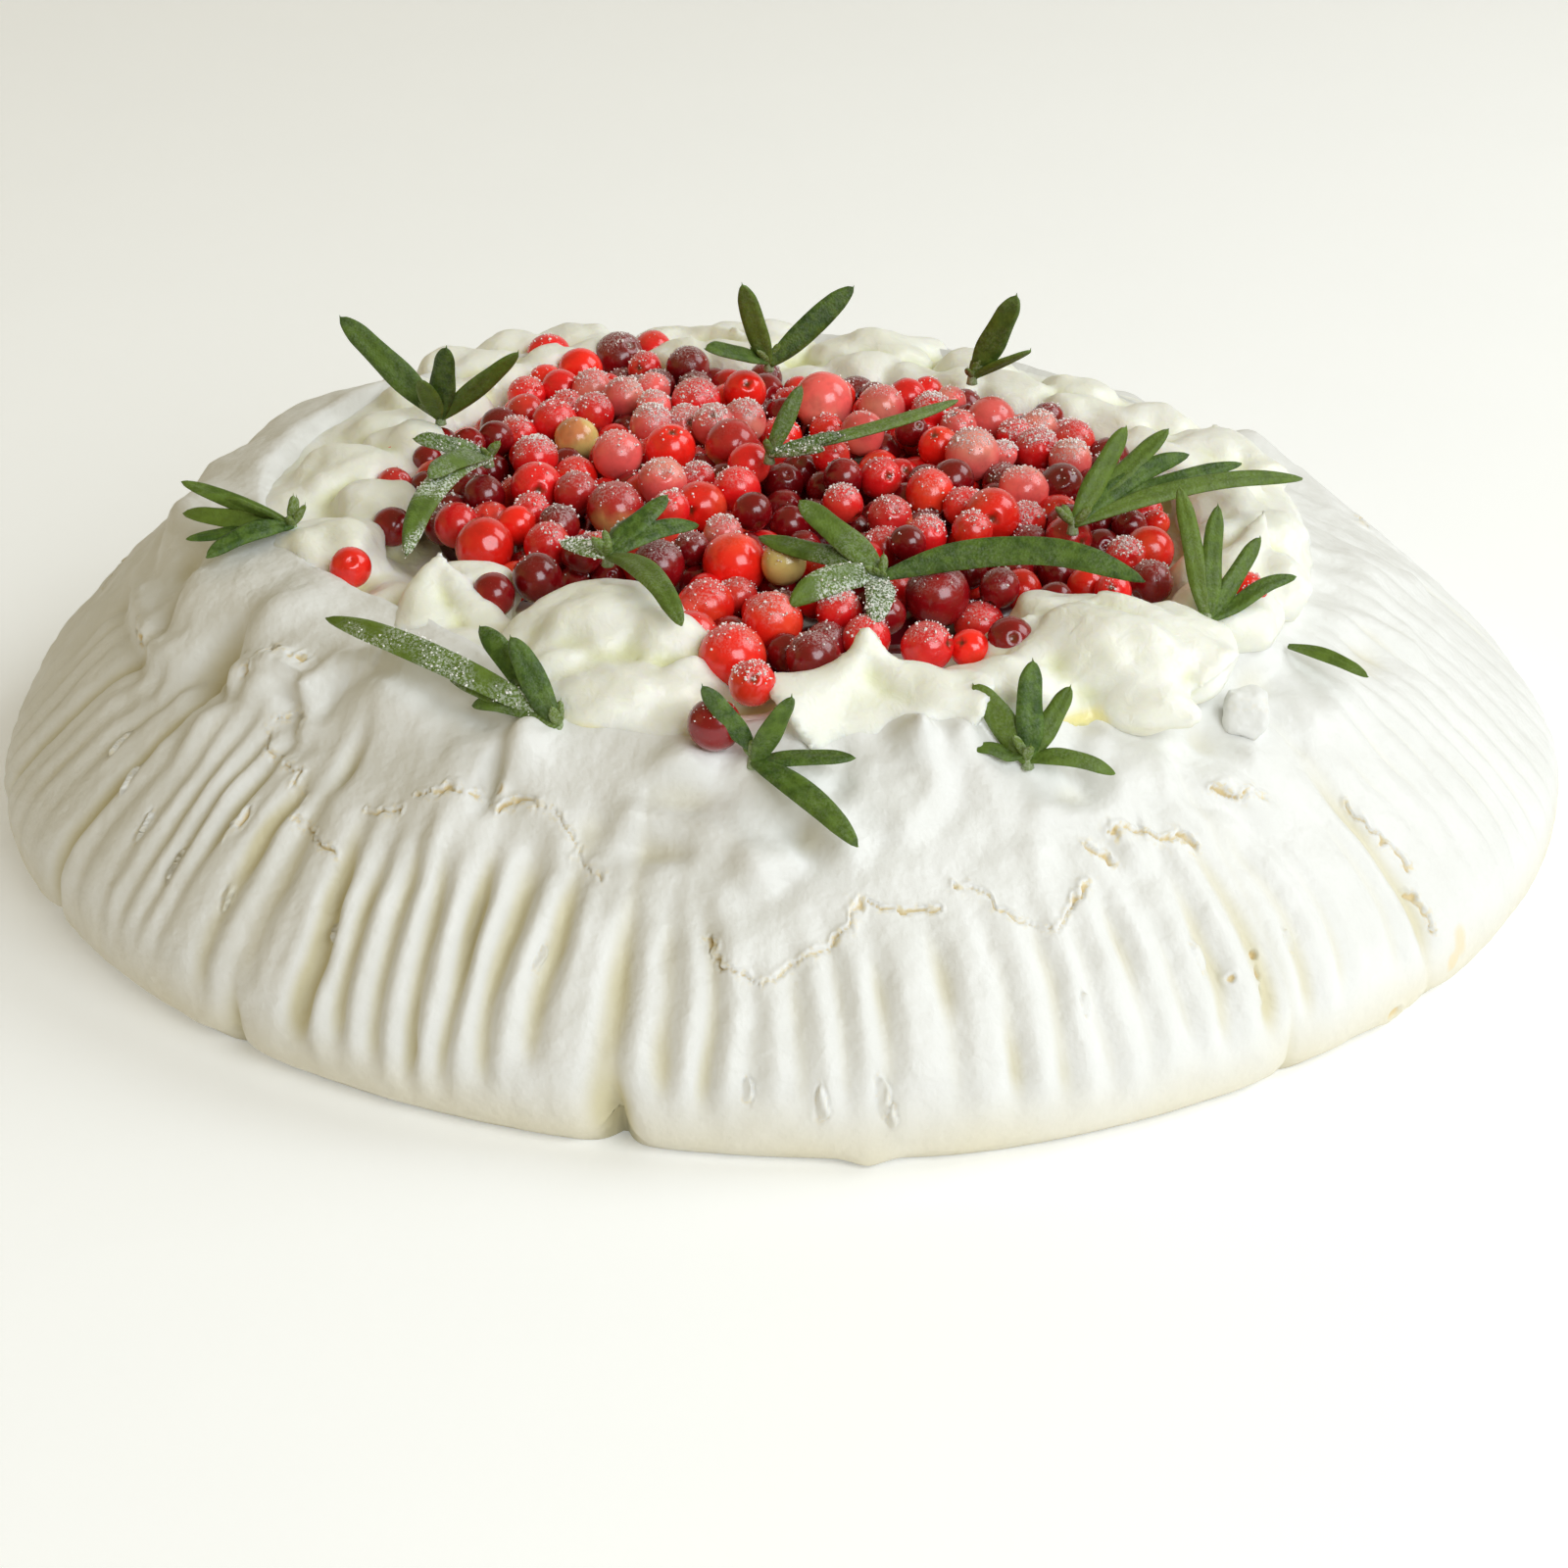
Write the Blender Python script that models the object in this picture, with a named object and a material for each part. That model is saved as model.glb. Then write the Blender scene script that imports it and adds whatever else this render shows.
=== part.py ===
"""Pavlova: a fluted meringue base, whipped cream in its hollow, a heap of small berries and sprigs of rosemary.

Metres, +Z up, origin under the middle of the base. Angles are degrees, 0 towards +X and -90 towards -Y (the front).
Lengths inside the functions are millimetres; MM turns them into metres when a mesh is made.
"""

import math

import bmesh
import bpy
import numpy as np
from mathutils import Vector
from mathutils.bvhtree import BVHTree
from mathutils.geometry import delaunay_2d_cdt

MM = 0.001
GAP = 0.35  # between neighbouring pieces

# Meringue: height levels of the wall and its radius there, on four sides
WALL_Z = (0.0, 6.0, 14.0, 22.0, 30.0, 38.0, 44.0, 50.0, 54.0)
WALL_LEFT = (122.3, 124.6, 124.7, 120.4, 113.1, 105.3, 98.5, 91.8, 83.2)
WALL_RIGHT = (124.4, 125.2, 123.7, 117.5, 109.2, 99.4, 87.4, 74.4, 61.4)
WALL_FRONT = (123.4, 124.9, 124.2, 119.2, 111.6, 102.9, 95.4, 86.0, 74.0)
WALL_BACK = (122.2, 120.4, 117.8, 113.8, 108.1, 100.9, 92.4, 83.3, 74.2)
# Footprint: radius of the base where the spatula strokes bulge out
FOOT = ((-180, 123.0), (-169, 123.5), (-152, 120.5), (-137, 120.1), (-115, 121.3), (-96, 123.0), (-78, 126.0),
        (-50, 123.0), (-25, 123.2), (-7, 125.5), (30, 124.0), (62, 122.4), (95, 122.2), (125, 122.8), (180, 123.0))
# Strokes of the spatula, one after another: start angle, number of flutes, flute depth, lean in degrees per 10 mm of height
STROKES = ((-180, 5, 0.9, 2.2), (-165.5, 4, 1.1, 2.6), (-151.5, 7, 1.2, 1.6), (-129, 9, 1.5, 0.5), (-100.4, 5, 1.4, 0.0),
           (-85, 9, 1.3, -0.3), (-55, 4, 1.0, -0.3), (-41, 6, 0.7, -0.8), (-20, 7, 0.7, -1.2), (4, 8, 0.8, -1.0),
           (31, 8, 1.1, -0.5), (58, 8, 1.2, 0.4), (85, 8, 1.2, 0.8), (112, 9, 1.1, 1.2), (142, 11, 1.0, 1.8), (180, 0, 0.9, 2.2))
# Deep nicks between strokes: angle, depth at the foot, depth half way up
NICKS = ((-165.5, 3.2, 1.6), (-151.5, 1.4, 1.2), (-129, 3.0, 1.4), (-100.4, 6.5, 2.2), (-55, 1.6, 1.0), (-41, 1.0, 1.2),
         (4, 2.6, 1.0), (31, 2.2, 1.0), (58, 3.6, 1.6), (85, 1.8, 1.2), (112, 4.2, 1.6), (142, 2.4, 1.2))
NICK_WIDTH = 1.7  # degrees
FLUTE_LOW, FLUTE_HIGH = 8.0, 38.0  # heights between which the flutes run
FLUTE_COLUMNS = 3  # columns of faces to a flute

# Cream: radius where it meets the meringue, radius of the berries inside it, and height of the ridge between them
CREAM_EDGE = ((-180, 85), (-165, 84), (-150, 83), (-133, 80), (-120, 84), (-112, 89), (-101, 92), (-90, 90), (-81, 91),
              (-71, 90), (-62, 92), (-47, 90), (-35, 86), (-20, 86), (0, 84), (20, 82), (40, 80), (60, 78), (90, 78),
              (120, 80), (150, 84), (180, 85))
HEAP_EDGE = ((-180, 61), (-165, 61), (-150, 60), (-140, 60), (-130, 57), (-122, 50), (-113, 47), (-105, 62), (-98, 79),
             (-92, 80), (-85, 72), (-75, 66), (-60, 66), (-50, 65), (-37, 70), (-20, 67), (0, 61), (20, 58), (40, 56),
             (60, 52), (85, 51), (100, 58), (112, 66), (126, 69), (140, 62), (160, 59), (180, 61))
CREAM_RIDGE = ((-180, 57), (-165, 55), (-150, 56), (-137, 55), (-125, 56), (-113, 60), (-104, 54), (-95, 49.5),
               (-88, 52), (-82, 58), (-74, 54), (-64, 56), (-53, 59), (-40, 56), (-20, 55), (0, 55), (20, 53.5), (40, 53),
               (65, 54), (90, 53.5), (115, 54), (140, 55.5), (160, 57), (180, 57))
# Dollops on the cream: angle, radius, height above the ridge, half width
DOLLOPS = ((-112, 67, 2.5, 9), (-104, 80, 2.0, 8), (-82, 80, 3.0, 6), (-53, 80, 2.0, 9), (-137, 69, 3.0, 6),
           (-177, 71, 2.0, 9), (-19, 77, 2.0, 8), (14, 76, 1.5, 8), (75, 66, 2.0, 9), (150, 73, 2.0, 8),
           (-149, 75, -8.5, 7), (-130.5, 66, -8.0, 6), (-63.5, 75, -8.0, 6), (-36, 84.5, -8.0, 6.5), (-43.3, 86, -7.0, 7))
CREAM_FLOOR = 47.0
HOLLOW = 40.0  # bottom of the hollow in the meringue

# Heap of berries
HEAP_BERRY = 10.0  # spacing of the bumps
HEAP_LOW, HEAP_HIGH = 57.0, 61.5  # tops of the berries at the edge and in the middle
HEAP_SKIRT = 4.0  # height of the heap's side under its outer berries

# Berries lying apart from the heap: x, y, diameter
BERRIES = {
    "berry_left": (-64.1, -39.6, 6.8),
    "berry_left_front": (-42.0, -50.6, 7.2),
    "berry_front_low": (-8.7, -93.0, 7.8),
    "berry_front_high": (-3.6, -85.6, 7.2),
    "berry_front_right": (33.2, -67.6, 7.2),
    "berry_right": (68.4, -50.1, 8.2),
}

# Rosemary: foot of the sprig (x, y), then each leaf as azimuth, rise, length, arch, sideways bend
LEAF_WIDTH, LEAF_THICK = 4.8, 1.5
SPRIGS = {
    "rosemary_01": ((-74.3, -26.9), ((161, 15, 19, 0, 0), (172, 4, 17, 0, 1), (-165, -2, 16, 0, 0), (-142, -6, 15, 1, 0), (187, 30, 11, 0, 0))),
    "rosemary_02": ((-55.4, 18.5), ((161, 42, 23, 0, 0), (-75, 60, 17, 0, 0), (-108, 50, 12, 0, 0), (-25, 42, 20, 0, 0))),
    "rosemary_03": ((-45.5, -8.9), ((-179, 16, 12, 0, 0), (-107, -8, 34, 3, -2), (-116, 8, 18, 1, 0))),
    "rosemary_04": ((-30.5, -86.8), ((152, 13, 39, 2, 2), (134, 32, 19, 0, 0), (145, 54, 14, 0, 0), (153, 12, 18, 0, 0), (160, 4, 13, 1, 0))),
    "rosemary_05": ((-24.8, -54.8), ((49, 25, 14, 0, 0), (30, 8, 15, 1, 0), (70, 4, 13, 1, 0), (150, 5, 8, 0, 0), (-62, -5, 24, 2, 1))),
    "rosemary_06": ((-3.4, -95.4), ((158, 48, 10, 0, 0), (-43, 60, 14, 0, 0), (-8, 6, 14, 0, 0), (-46, -16, 21, 1, 0))),
    "rosemary_07": ((34.5, -90.5), ((144, 45, 13, 0, 0), (82, 70, 14, 0, 0), (40, 50, 12, 0, 0), (178, 4, 8, 0, 0), (-8, -6, 12, 1, 0))),
    "rosemary_08": ((15.0, -55.5), ((149, 6, 21, 0, 0), (136, 26, 18, 0, 0), (-148, -3, 16, 1, 0), (-96, -8, 13, 1, 0), (-7, 2, 38, 4, 3))),
    "rosemary_09": ((-1.5, -10.3), ((39, 58, 12, 0, 0), (-30, 14, 10, 0, 0), (0, 16, 12, 0, 0), (28, 6, 34, 1, -4))),
    "rosemary_10": ((-1.7, 34.0), ((-131, 66, 17, 0, 0), (-150, 20, 13, 0, 0), (14, 40, 19, 0, 0))),
    "rosemary_11": ((32.2, 33.0), ((-35, 62, 18, 0, 0), (-10, 30, 11, 0, 0))),
    "rosemary_12": ((44.2, -35.4), ((52, 42, 18, 0, 0), (46, 24, 24, 0, 0), (38, 15, 24, 1, 0), (30, 8, 31, 1, 0), (22, 3, 39, 2, 0))),
    "rosemary_13": ((62.3, -58.6), ((116, 62, 20, 0, 0), (78, 64, 17, 0, 0), (45, 42, 15, 0, 0), (22, 18, 15, 0, 0))),
    "rosemary_leaf": ((75.5, -50.5), ((-33, -8, 13, 0.5, 0),)),
}


def clear_scene():
    for obj in list(bpy.data.objects):
        bpy.data.objects.remove(obj, do_unlink=True)


def round_table(rows, angle):
    """Value of a closed table of (angle, value) rows at the angles, smoothed between the rows."""
    keys = np.array([row[0] for row in rows], float)
    values = np.array([row[1] for row in rows], float)
    dense = np.arange(-180.0, 180.0, 1.0)
    flat = np.interp(dense, keys, values)
    kernel = np.hanning(11)
    kernel /= kernel.sum()
    soft = np.convolve(np.concatenate([flat[-5:], flat, flat[:5]]), kernel, "valid")
    wrapped = (np.asarray(angle, float) + 180.0) % 360.0
    return np.interp(wrapped, np.arange(361.0), np.append(soft, soft[0]))


def wave(x, y, seed):
    """Smooth uneven number between about -1 and 1, from a few crossing waves."""
    rng = np.random.default_rng(seed)
    total = 0.0
    for octave in range(6):
        turn = rng.uniform(0, 2 * math.pi)
        length = rng.uniform(13, 34)
        total = total + np.sin((x * math.cos(turn) + y * math.sin(turn)) * 2 * math.pi / length + rng.uniform(0, 6.3))
    return total / 2.6


def smooth(low, high, x):
    t = np.clip((np.asarray(x, float) - low) / (high - low), 0, 1)
    return t * t * (3 - 2 * t)


def side_weights(angle):
    c, s = np.cos(np.radians(angle)), np.sin(np.radians(angle))
    return [w * w for w in (np.maximum(-c, 0), np.maximum(c, 0), np.maximum(-s, 0), np.maximum(s, 0))]


def wall_radius(angle, z):
    """Radius of the meringue wall before flutes and nicks."""
    angle = np.asarray(angle, float)
    total, foot = 0.0, 0.0
    for weight, side in zip(side_weights(angle), (WALL_LEFT, WALL_RIGHT, WALL_FRONT, WALL_BACK)):
        total = total + weight * np.interp(z, WALL_Z, side)
        foot = foot + weight * side[0]
    bulge = round_table(FOOT, angle) - foot
    return total + bulge * (1 - 0.7 * smooth(8, 40, z))


def wall_height(angle, radius):
    """Height of the meringue's shoulder at a radius inside its widest ring."""
    levels = np.linspace(14, 54, 41)
    out = np.empty(len(angle))
    for i, (a, r) in enumerate(zip(angle, np.broadcast_to(radius, len(angle)))):
        radii = np.array([float(wall_radius(np.array([a]), z)[0]) for z in levels[::4]])
        out[i] = np.interp(-r, -radii, levels[::4])
    return out


def lean_at(angle):
    return round_table([(s[0], s[3]) for s in STROKES], angle)


def flute_lines():
    """Angle at mid height and depth of every column of the fluted wall; every FLUTE_COLUMNS-th one is a groove."""
    rng = np.random.default_rng(11)
    angles, depths = [], []
    for here, after in zip(STROKES, STROKES[1:]):
        step = (after[0] - here[0]) / here[1]
        for flute in range(here[1]):
            start = here[0] + flute * step + (rng.uniform(-0.22, 0.22) * step if flute else 0)
            angles.append(start)
            depths.append(here[2] * rng.uniform(0.55, 1.25))
    angles, depths = np.array(angles), np.array(depths)
    following = np.append(angles[1:], angles[0] + 360)
    columns, groove = [], []
    for a, b, d in zip(angles, following, depths):
        for k in range(FLUTE_COLUMNS):
            columns.append(a + (b - a) * k / FLUTE_COLUMNS)
            groove.append(d if k == 0 else 0.0)
    return np.array(columns), np.array(groove)


def nick_depth(angle, z):
    total = np.zeros(len(angle))
    for at, foot, middle in NICKS:
        away = (angle - at + 180) % 360 - 180
        strength = middle + (foot - middle) * (1 - smooth(0, 16, z))
        strength = strength * (1 - smooth(34, 50, z))
        total += strength * np.exp(-(np.abs(away) / NICK_WIDTH) ** 1.4)
    return total


def polar(angle, radius, z):
    a = np.radians(angle)
    z = np.broadcast_to(z, len(a))
    return np.stack([radius * np.cos(a), radius * np.sin(a), z], 1)


def shell(name, rings, bottom_z=None):
    """Closed solid through rings of points. A ring may have a whole multiple of the next one's points; the first and
    last rings are closed by a flat face or, where a ring is a single point, by a fan."""
    bm = bmesh.new()
    rows = [[bm.verts.new(Vector(p) * MM) for p in ring] for ring in rings]
    for low, high in zip(rows, rows[1:]):
        if len(low) == 1 or len(high) == 1:
            tip, ring = (low[0], high) if len(low) == 1 else (high[0], low)
            for i in range(len(ring)):
                bm.faces.new((tip, ring[i], ring[(i + 1) % len(ring)]))
            continue
        few, many = (low, high) if len(low) <= len(high) else (high, low)
        ratio = len(many) // len(few)
        half = ratio // 2
        for i in range(len(few)):
            j = (i + 1) % len(few)
            if ratio == 1:
                bm.faces.new((few[i], few[j], many[j], many[i]))
                continue
            for k in range(ratio):
                a, b = many[i * ratio + k], many[(i * ratio + k + 1) % len(many)]
                bm.faces.new((few[i] if k < ratio - half else few[j], a, b))
            bm.faces.new((few[i], few[j], many[i * ratio + ratio - half]))
    for ring in (rows[0], rows[-1]):
        if len(ring) > 2:
            bm.faces.new(ring)
    bmesh.ops.triangulate(bm, faces=bm.faces[:])
    bmesh.ops.recalc_face_normals(bm, faces=bm.faces[:])
    mesh = bpy.data.meshes.new(name)
    bm.to_mesh(mesh)
    bm.free()
    obj = bpy.data.objects.new(name, mesh)
    bpy.context.scene.collection.objects.link(obj)
    return obj


def material(name, colour, roughness, metallic=0.0):
    mat = bpy.data.materials.new(name)
    mat.use_nodes = True
    shader = mat.node_tree.nodes["Principled BSDF"]
    shader.inputs["Base Color"].default_value = (*colour, 1)
    shader.inputs["Roughness"].default_value = roughness
    shader.inputs["Metallic"].default_value = metallic
    mat.diffuse_color = (*colour, 1)
    return mat


def crater_rings(angle):
    """Rings of the hollow that the cream lies in, shared by the meringue's top and the cream's underside."""
    edge = round_table(CREAM_EDGE, angle)
    high = wall_height(angle, edge)
    rings = []
    for share, sink in ((1.0, 0.0), (0.93, 0.55), (0.8, 0.95), (0.45, 1.0)):
        z = np.where(share == 1.0, high, np.minimum(high - 1.5, high + (HOLLOW - high) * sink))
        rings.append(polar(angle, edge * share, z))
    return rings, edge, high


def meringue():
    columns, groove = flute_lines()
    coarse = columns[::FLUTE_COLUMNS]
    crown = coarse[::2]
    rings = []
    for z in (0.0, 4.0):
        rings.append(polar(coarse, wall_radius(coarse, z) - nick_depth(coarse, z), z))
    rng = np.random.default_rng(5)
    reach = rng.uniform(-3, 3, len(coarse)).repeat(FLUTE_COLUMNS)
    for z in (10.0, 17.0, 27.0, 37.0):
        angle = columns + lean_at(columns) * (z - 20) / 10
        strength = smooth(FLUTE_LOW - 3, FLUTE_LOW + 7, z + reach) * (1 - 0.75 * smooth(FLUTE_HIGH - 12, FLUTE_HIGH + 2, z + reach))
        cut = groove * strength * 1.25 + nick_depth(columns, z)
        outward = np.array([1.0, 0.0])
        lift = 0.45 if z > 20 else 0.0
        base = wall_radius(angle, z)
        rings.append(polar(angle, base - cut, z - lift * groove * strength))
    z = 43.0
    angle = coarse + lean_at(coarse) * 2.1
    base = wall_radius(angle, z)
    ring = polar(angle, base, z)
    ring[:, 2] += 0.9 * wave(ring[:, 0], ring[:, 1], 3)
    rings.append(ring)
    turn = crown + lean_at(crown) * 2.1
    _, edge, high = crater_rings(turn)
    outer = wall_radius(turn, 43.0)
    middle = edge + 0.38 * (outer - edge)
    ring = polar(turn, middle, wall_height(turn, middle))
    ring[:, 2] += 1.2 * wave(ring[:, 0], ring[:, 1], 4)
    rings.append(ring)
    crater, _, _ = crater_rings(turn)
    rings += crater
    rings.append([(0.0, 0.0, HOLLOW)])
    return shell("meringue", rings), turn


def cream(turn):
    crater, edge, high = crater_rings(turn)
    under = [[(0.0, 0.0, HOLLOW + GAP)]]
    for ring in reversed(crater):
        lifted = ring.copy()
        lifted[:, 2] += GAP
        under.append(lifted)
    # the edge is tucked in a little so that it stands clear of the meringue
    inner = round_table(HEAP_EDGE, turn) + 1.5
    ridge = round_table(CREAM_RIDGE, turn)
    fine = np.empty(2 * len(turn))
    fine[::2] = turn
    fine[1::2] = turn + ((np.roll(turn, -1) - turn + 360) % 360) / 2
    f_edge, f_in, f_ridge = (round_table(t, fine) for t in (CREAM_EDGE, HEAP_EDGE, CREAM_RIDGE))
    f_in = f_in + 1.5
    f_high = np.interp(np.arange(len(fine)), np.arange(0, len(fine), 2), high, period=len(fine))
    rings = [polar(turn, edge - 0.4, high + 1.6)]
    for share, level in ((0.86, 0.62), (0.62, 0.97), (0.4, 0.95), (0.2, 0.6)):
        radius = f_in + (f_edge - f_in) * share
        foot = CREAM_FLOOR if share < 0.3 else np.maximum(f_high * (share > 0.5) + CREAM_FLOOR * (share <= 0.5), CREAM_FLOOR)
        z = foot + (f_ridge - foot) * level
        ring = polar(fine, radius, z)
        for at, away, height, half in DOLLOPS:
            dx = ring[:, 0] - away * math.cos(math.radians(at))
            dy = ring[:, 1] - away * math.sin(math.radians(at))
            ring[:, 2] += height * np.exp(-(dx * dx + dy * dy) / half**2)
        ring[:, 2] += 0.9 * wave(ring[:, 0], ring[:, 1], 8) * (0.4 + level)
        ring[:, 2] = np.maximum(ring[:, 2], CREAM_FLOOR)
        rings.append(ring)
    rings.append(polar(turn, inner, CREAM_FLOOR))
    rings.append([(0.0, 0.0, CREAM_FLOOR)])
    return shell("cream", under + rings)


def inside_heap(x, y, margin):
    return math.hypot(x, y) < float(round_table(HEAP_EDGE, math.degrees(math.atan2(y, x)))) - margin


def heap():
    """The heap as one bumpy solid: a dome over each berry, the lowest points between them."""
    rng = np.random.default_rng(23)
    step = HEAP_BERRY
    tops = []
    for row in range(-10, 11):
        for col in range(-10, 11):
            x = (col + 0.5 * (row % 2)) * step + rng.uniform(-1.1, 1.1)
            y = row * step * 0.87 + rng.uniform(-1.1, 1.1)
            if inside_heap(x, y, step * 0.42):
                tops.append((x, y))
    tops = np.array(tops)
    outline = []
    count = 56
    for i in range(count):
        a = -180 + 360 * i / count
        r = float(round_table(HEAP_EDGE, a)) - (0.7 if i % 2 else 0.0)
        outline.append((r * math.cos(math.radians(a)), r * math.sin(math.radians(a))))

    def crown(x, y):
        share = math.hypot(x, y) / float(round_table(HEAP_EDGE, math.degrees(math.atan2(y, x))))
        return HEAP_LOW + (HEAP_HIGH - HEAP_LOW) * (1 - min(share, 1) ** 2)

    _, _, faces, *_ = delaunay_2d_cdt([Vector(p) for p in tops], [], [], 0, 1e-4)
    low = CREAM_FLOOR + GAP
    points, heights = [], []
    for x, y in tops:
        z = crown(x, y) + rng.uniform(-1.0, 0.8)
        points.append((x, y))
        heights.append(z)
        spin = rng.uniform(0, 1)
        for k in range(5):
            a = 2 * math.pi * (k + spin) / 5
            points.append((x + 0.36 * step * math.cos(a), y + 0.36 * step * math.sin(a)))
            heights.append(z - 1.5)
    for face in faces:
        corners = tops[list(face)]
        sides = [np.linalg.norm(corners[i] - corners[(i + 1) % 3]) for i in range(3)]
        if len(face) == 3 and max(sides) < 1.7 * step:
            x, y = corners.mean(0)
            points.append((x, y))
            heights.append(crown(x, y) - 4.4)
    start = len(points)
    points += outline
    heights += [low + HEAP_SKIRT] * count
    edges = [(start + i, start + (i + 1) % count) for i in range(count)]
    verts, _, faces, origin, *_ = delaunay_2d_cdt([Vector(p) for p in points], edges, [], 1, 1e-4)
    bm = bmesh.new()
    made = []
    for v, source in zip(verts, origin):
        z = heights[source[0]] if source else low + HEAP_SKIRT
        made.append(bm.verts.new(Vector((v.x, v.y, z)) * MM))
    for face in faces:
        bm.faces.new([made[i] for i in face])
    rim = [e for e in bm.edges if e.is_boundary]
    side = bmesh.ops.extrude_edge_only(bm, edges=rim)["geom"]
    lower = [g for g in side if isinstance(g, bmesh.types.BMVert)]
    for v in lower:
        v.co.z = low * MM
    bmesh.ops.contextual_create(bm, geom=[e for e in bm.edges if e.is_boundary])
    bmesh.ops.triangulate(bm, faces=bm.faces[:])
    bmesh.ops.recalc_face_normals(bm, faces=bm.faces[:])
    mesh = bpy.data.meshes.new("berry_heap")
    bm.to_mesh(mesh)
    bm.free()
    obj = bpy.data.objects.new("berry_heap", mesh)
    bpy.context.scene.collection.objects.link(obj)
    return obj


class Ground:
    """What has been placed so far, for resting the next piece on it."""

    def __init__(self):
        self.trees = []

    def add(self, obj):
        mesh = obj.data
        mesh.calc_loop_triangles()
        verts = [obj.matrix_world @ v.co / MM for v in mesh.vertices]
        self.trees.append(BVHTree.FromPolygons(verts, [t.vertices[:] for t in mesh.loop_triangles]))

    def height(self, x, y):
        best = 0.0
        for tree in self.trees:
            hit = tree.ray_cast(Vector((x, y, 200)), Vector((0, 0, -1)))[0]
            if hit is not None:
                best = max(best, hit.z)
        return best

    def height_around(self, x, y, reach):
        spots = [(0, 0)] + [(reach * math.cos(a), reach * math.sin(a)) for a in np.arange(0, 6.2, math.pi / 4)]
        return max(self.height(x + dx, y + dy) for dx, dy in spots)

    def distance(self, point):
        return min(tree.find_nearest(point)[3] for tree in self.trees)

    def touches(self, tree):
        return any(other.overlap(tree) for other in self.trees)


def berry(name, x, y, diameter, ground):
    """A round berry, set down until it is GAP above what lies under it."""
    radius = diameter / 2
    z = ground.height_around(x, y, radius) + radius + 6
    while z > 0 and ground.distance(Vector((x, y, z - 0.1))) > radius + GAP:
        z -= 0.1
    bm = bmesh.new()
    bmesh.ops.create_uvsphere(bm, u_segments=10, v_segments=6, radius=radius * MM)
    for v in bm.verts:
        v.co.z *= 0.97
    bmesh.ops.triangulate(bm, faces=bm.faces[:])
    for face in bm.faces:
        face.smooth = True
    mesh = bpy.data.meshes.new(name)
    bm.to_mesh(mesh)
    bm.free()
    obj = bpy.data.objects.new(name, mesh)
    obj.location = Vector((x, y, z)) * MM
    bpy.context.scene.collection.objects.link(obj)
    bpy.context.view_layer.update()
    return obj


def leaf_path(foot, leaf, ground):
    azimuth, rise, length, arch, bend = leaf
    a, e = math.radians(azimuth), math.radians(rise)
    along, across = Vector((math.cos(a), math.sin(a), 0)), Vector((-math.sin(a), math.cos(a), 0))
    stations = []
    for s in (0.0, 0.28, 0.66, 1.0):
        hump = 4 * s * (1 - s)
        p = foot + along * (length * math.cos(e) * s) + across * (bend * hump)
        p.z = foot.z + length * math.sin(e) * s + arch * hump
        stations.append(p)
    return stations, across


def leaf_mesh(name, stations, across, ground):
    """A needle leaf: flat underside, raised middle, narrow at both ends."""
    widths = (0.4, 1.0, 0.9, 0.16)
    bm = bmesh.new()
    rows = []
    for p, w in zip(stations, widths):
        half, thick = LEAF_WIDTH / 2 * w, LEAF_THICK * (0.45 + 0.55 * w)
        floor = ground.height_around(p.x, p.y, max(half, 1.5)) + GAP + 0.25
        z = max(p.z, floor)
        low = Vector((p.x, p.y, z))
        rows.append([bm.verts.new(v * MM) for v in (low + across * half, low - across * half, low + Vector((0, 0, thick)))])
    for one, two in zip(rows, rows[1:]):
        for i in range(3):
            j = (i + 1) % 3
            bm.faces.new((one[i], one[j], two[j], two[i]))
    bm.faces.new(rows[0])
    bm.faces.new(rows[-1])
    bmesh.ops.triangulate(bm, faces=bm.faces[:])
    bmesh.ops.recalc_face_normals(bm, faces=bm.faces[:])
    mesh = bpy.data.meshes.new(name)
    bm.to_mesh(mesh)
    bm.free()
    obj = bpy.data.objects.new(name, mesh)
    bpy.context.scene.collection.objects.link(obj)
    return obj


def join_solids(obj, others):
    """Boolean union of obj with each of the others, which are then removed."""
    for other in others:
        mod = obj.modifiers.new("join", "BOOLEAN")
        mod.operation = "UNION"
        mod.solver = "EXACT"
        mod.object = other
    bpy.context.view_layer.update()
    graph = bpy.context.evaluated_depsgraph_get()
    mesh = bpy.data.meshes.new_from_object(obj.evaluated_get(graph))
    obj.modifiers.clear()
    obj.data = mesh
    for other in others:
        bpy.data.objects.remove(other, do_unlink=True)


def sprig(name, foot_xy, leaves, ground):
    x, y = foot_xy
    foot = Vector((x, y, ground.height_around(x, y, 2.0) + GAP + 0.8))
    parts = []
    for leaf in leaves:
        stations, across = leaf_path(foot, leaf, ground)
        back = (stations[1] - stations[0]).normalized() * 0.8
        stations[0] = stations[0] - back
        parts.append(leaf_mesh(name + "_leaf", stations, across, ground))
    obj = parts[0]
    obj.name = name
    if len(parts) > 1:
        # the stub of stem that the leaves grow from
        bm = bmesh.new()
        bmesh.ops.create_cone(bm, cap_ends=True, segments=6, radius1=1.7 * MM, radius2=1.1 * MM, depth=2.6 * MM)
        bmesh.ops.triangulate(bm, faces=bm.faces[:])
        mesh = bpy.data.meshes.new(name + "_stub")
        bm.to_mesh(mesh)
        bm.free()
        stub = bpy.data.objects.new(name + "_stub", mesh)
        stub.location = (foot + Vector((0, 0, 0.9))) * MM
        bpy.context.scene.collection.objects.link(stub)
        join_solids(obj, parts[1:] + [stub])
    lift = 0.0
    while lift < 8:
        tree = BVHTree.FromPolygons([v.co / MM - Vector((0, 0, GAP - 0.03)) + Vector((0, 0, lift)) for v in obj.data.vertices],
                                    [p.vertices[:] for p in obj.data.polygons])
        if not ground.touches(tree):
            break
        lift += 0.25
    for v in obj.data.vertices:
        v.co.z += lift * MM
    return obj


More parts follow.
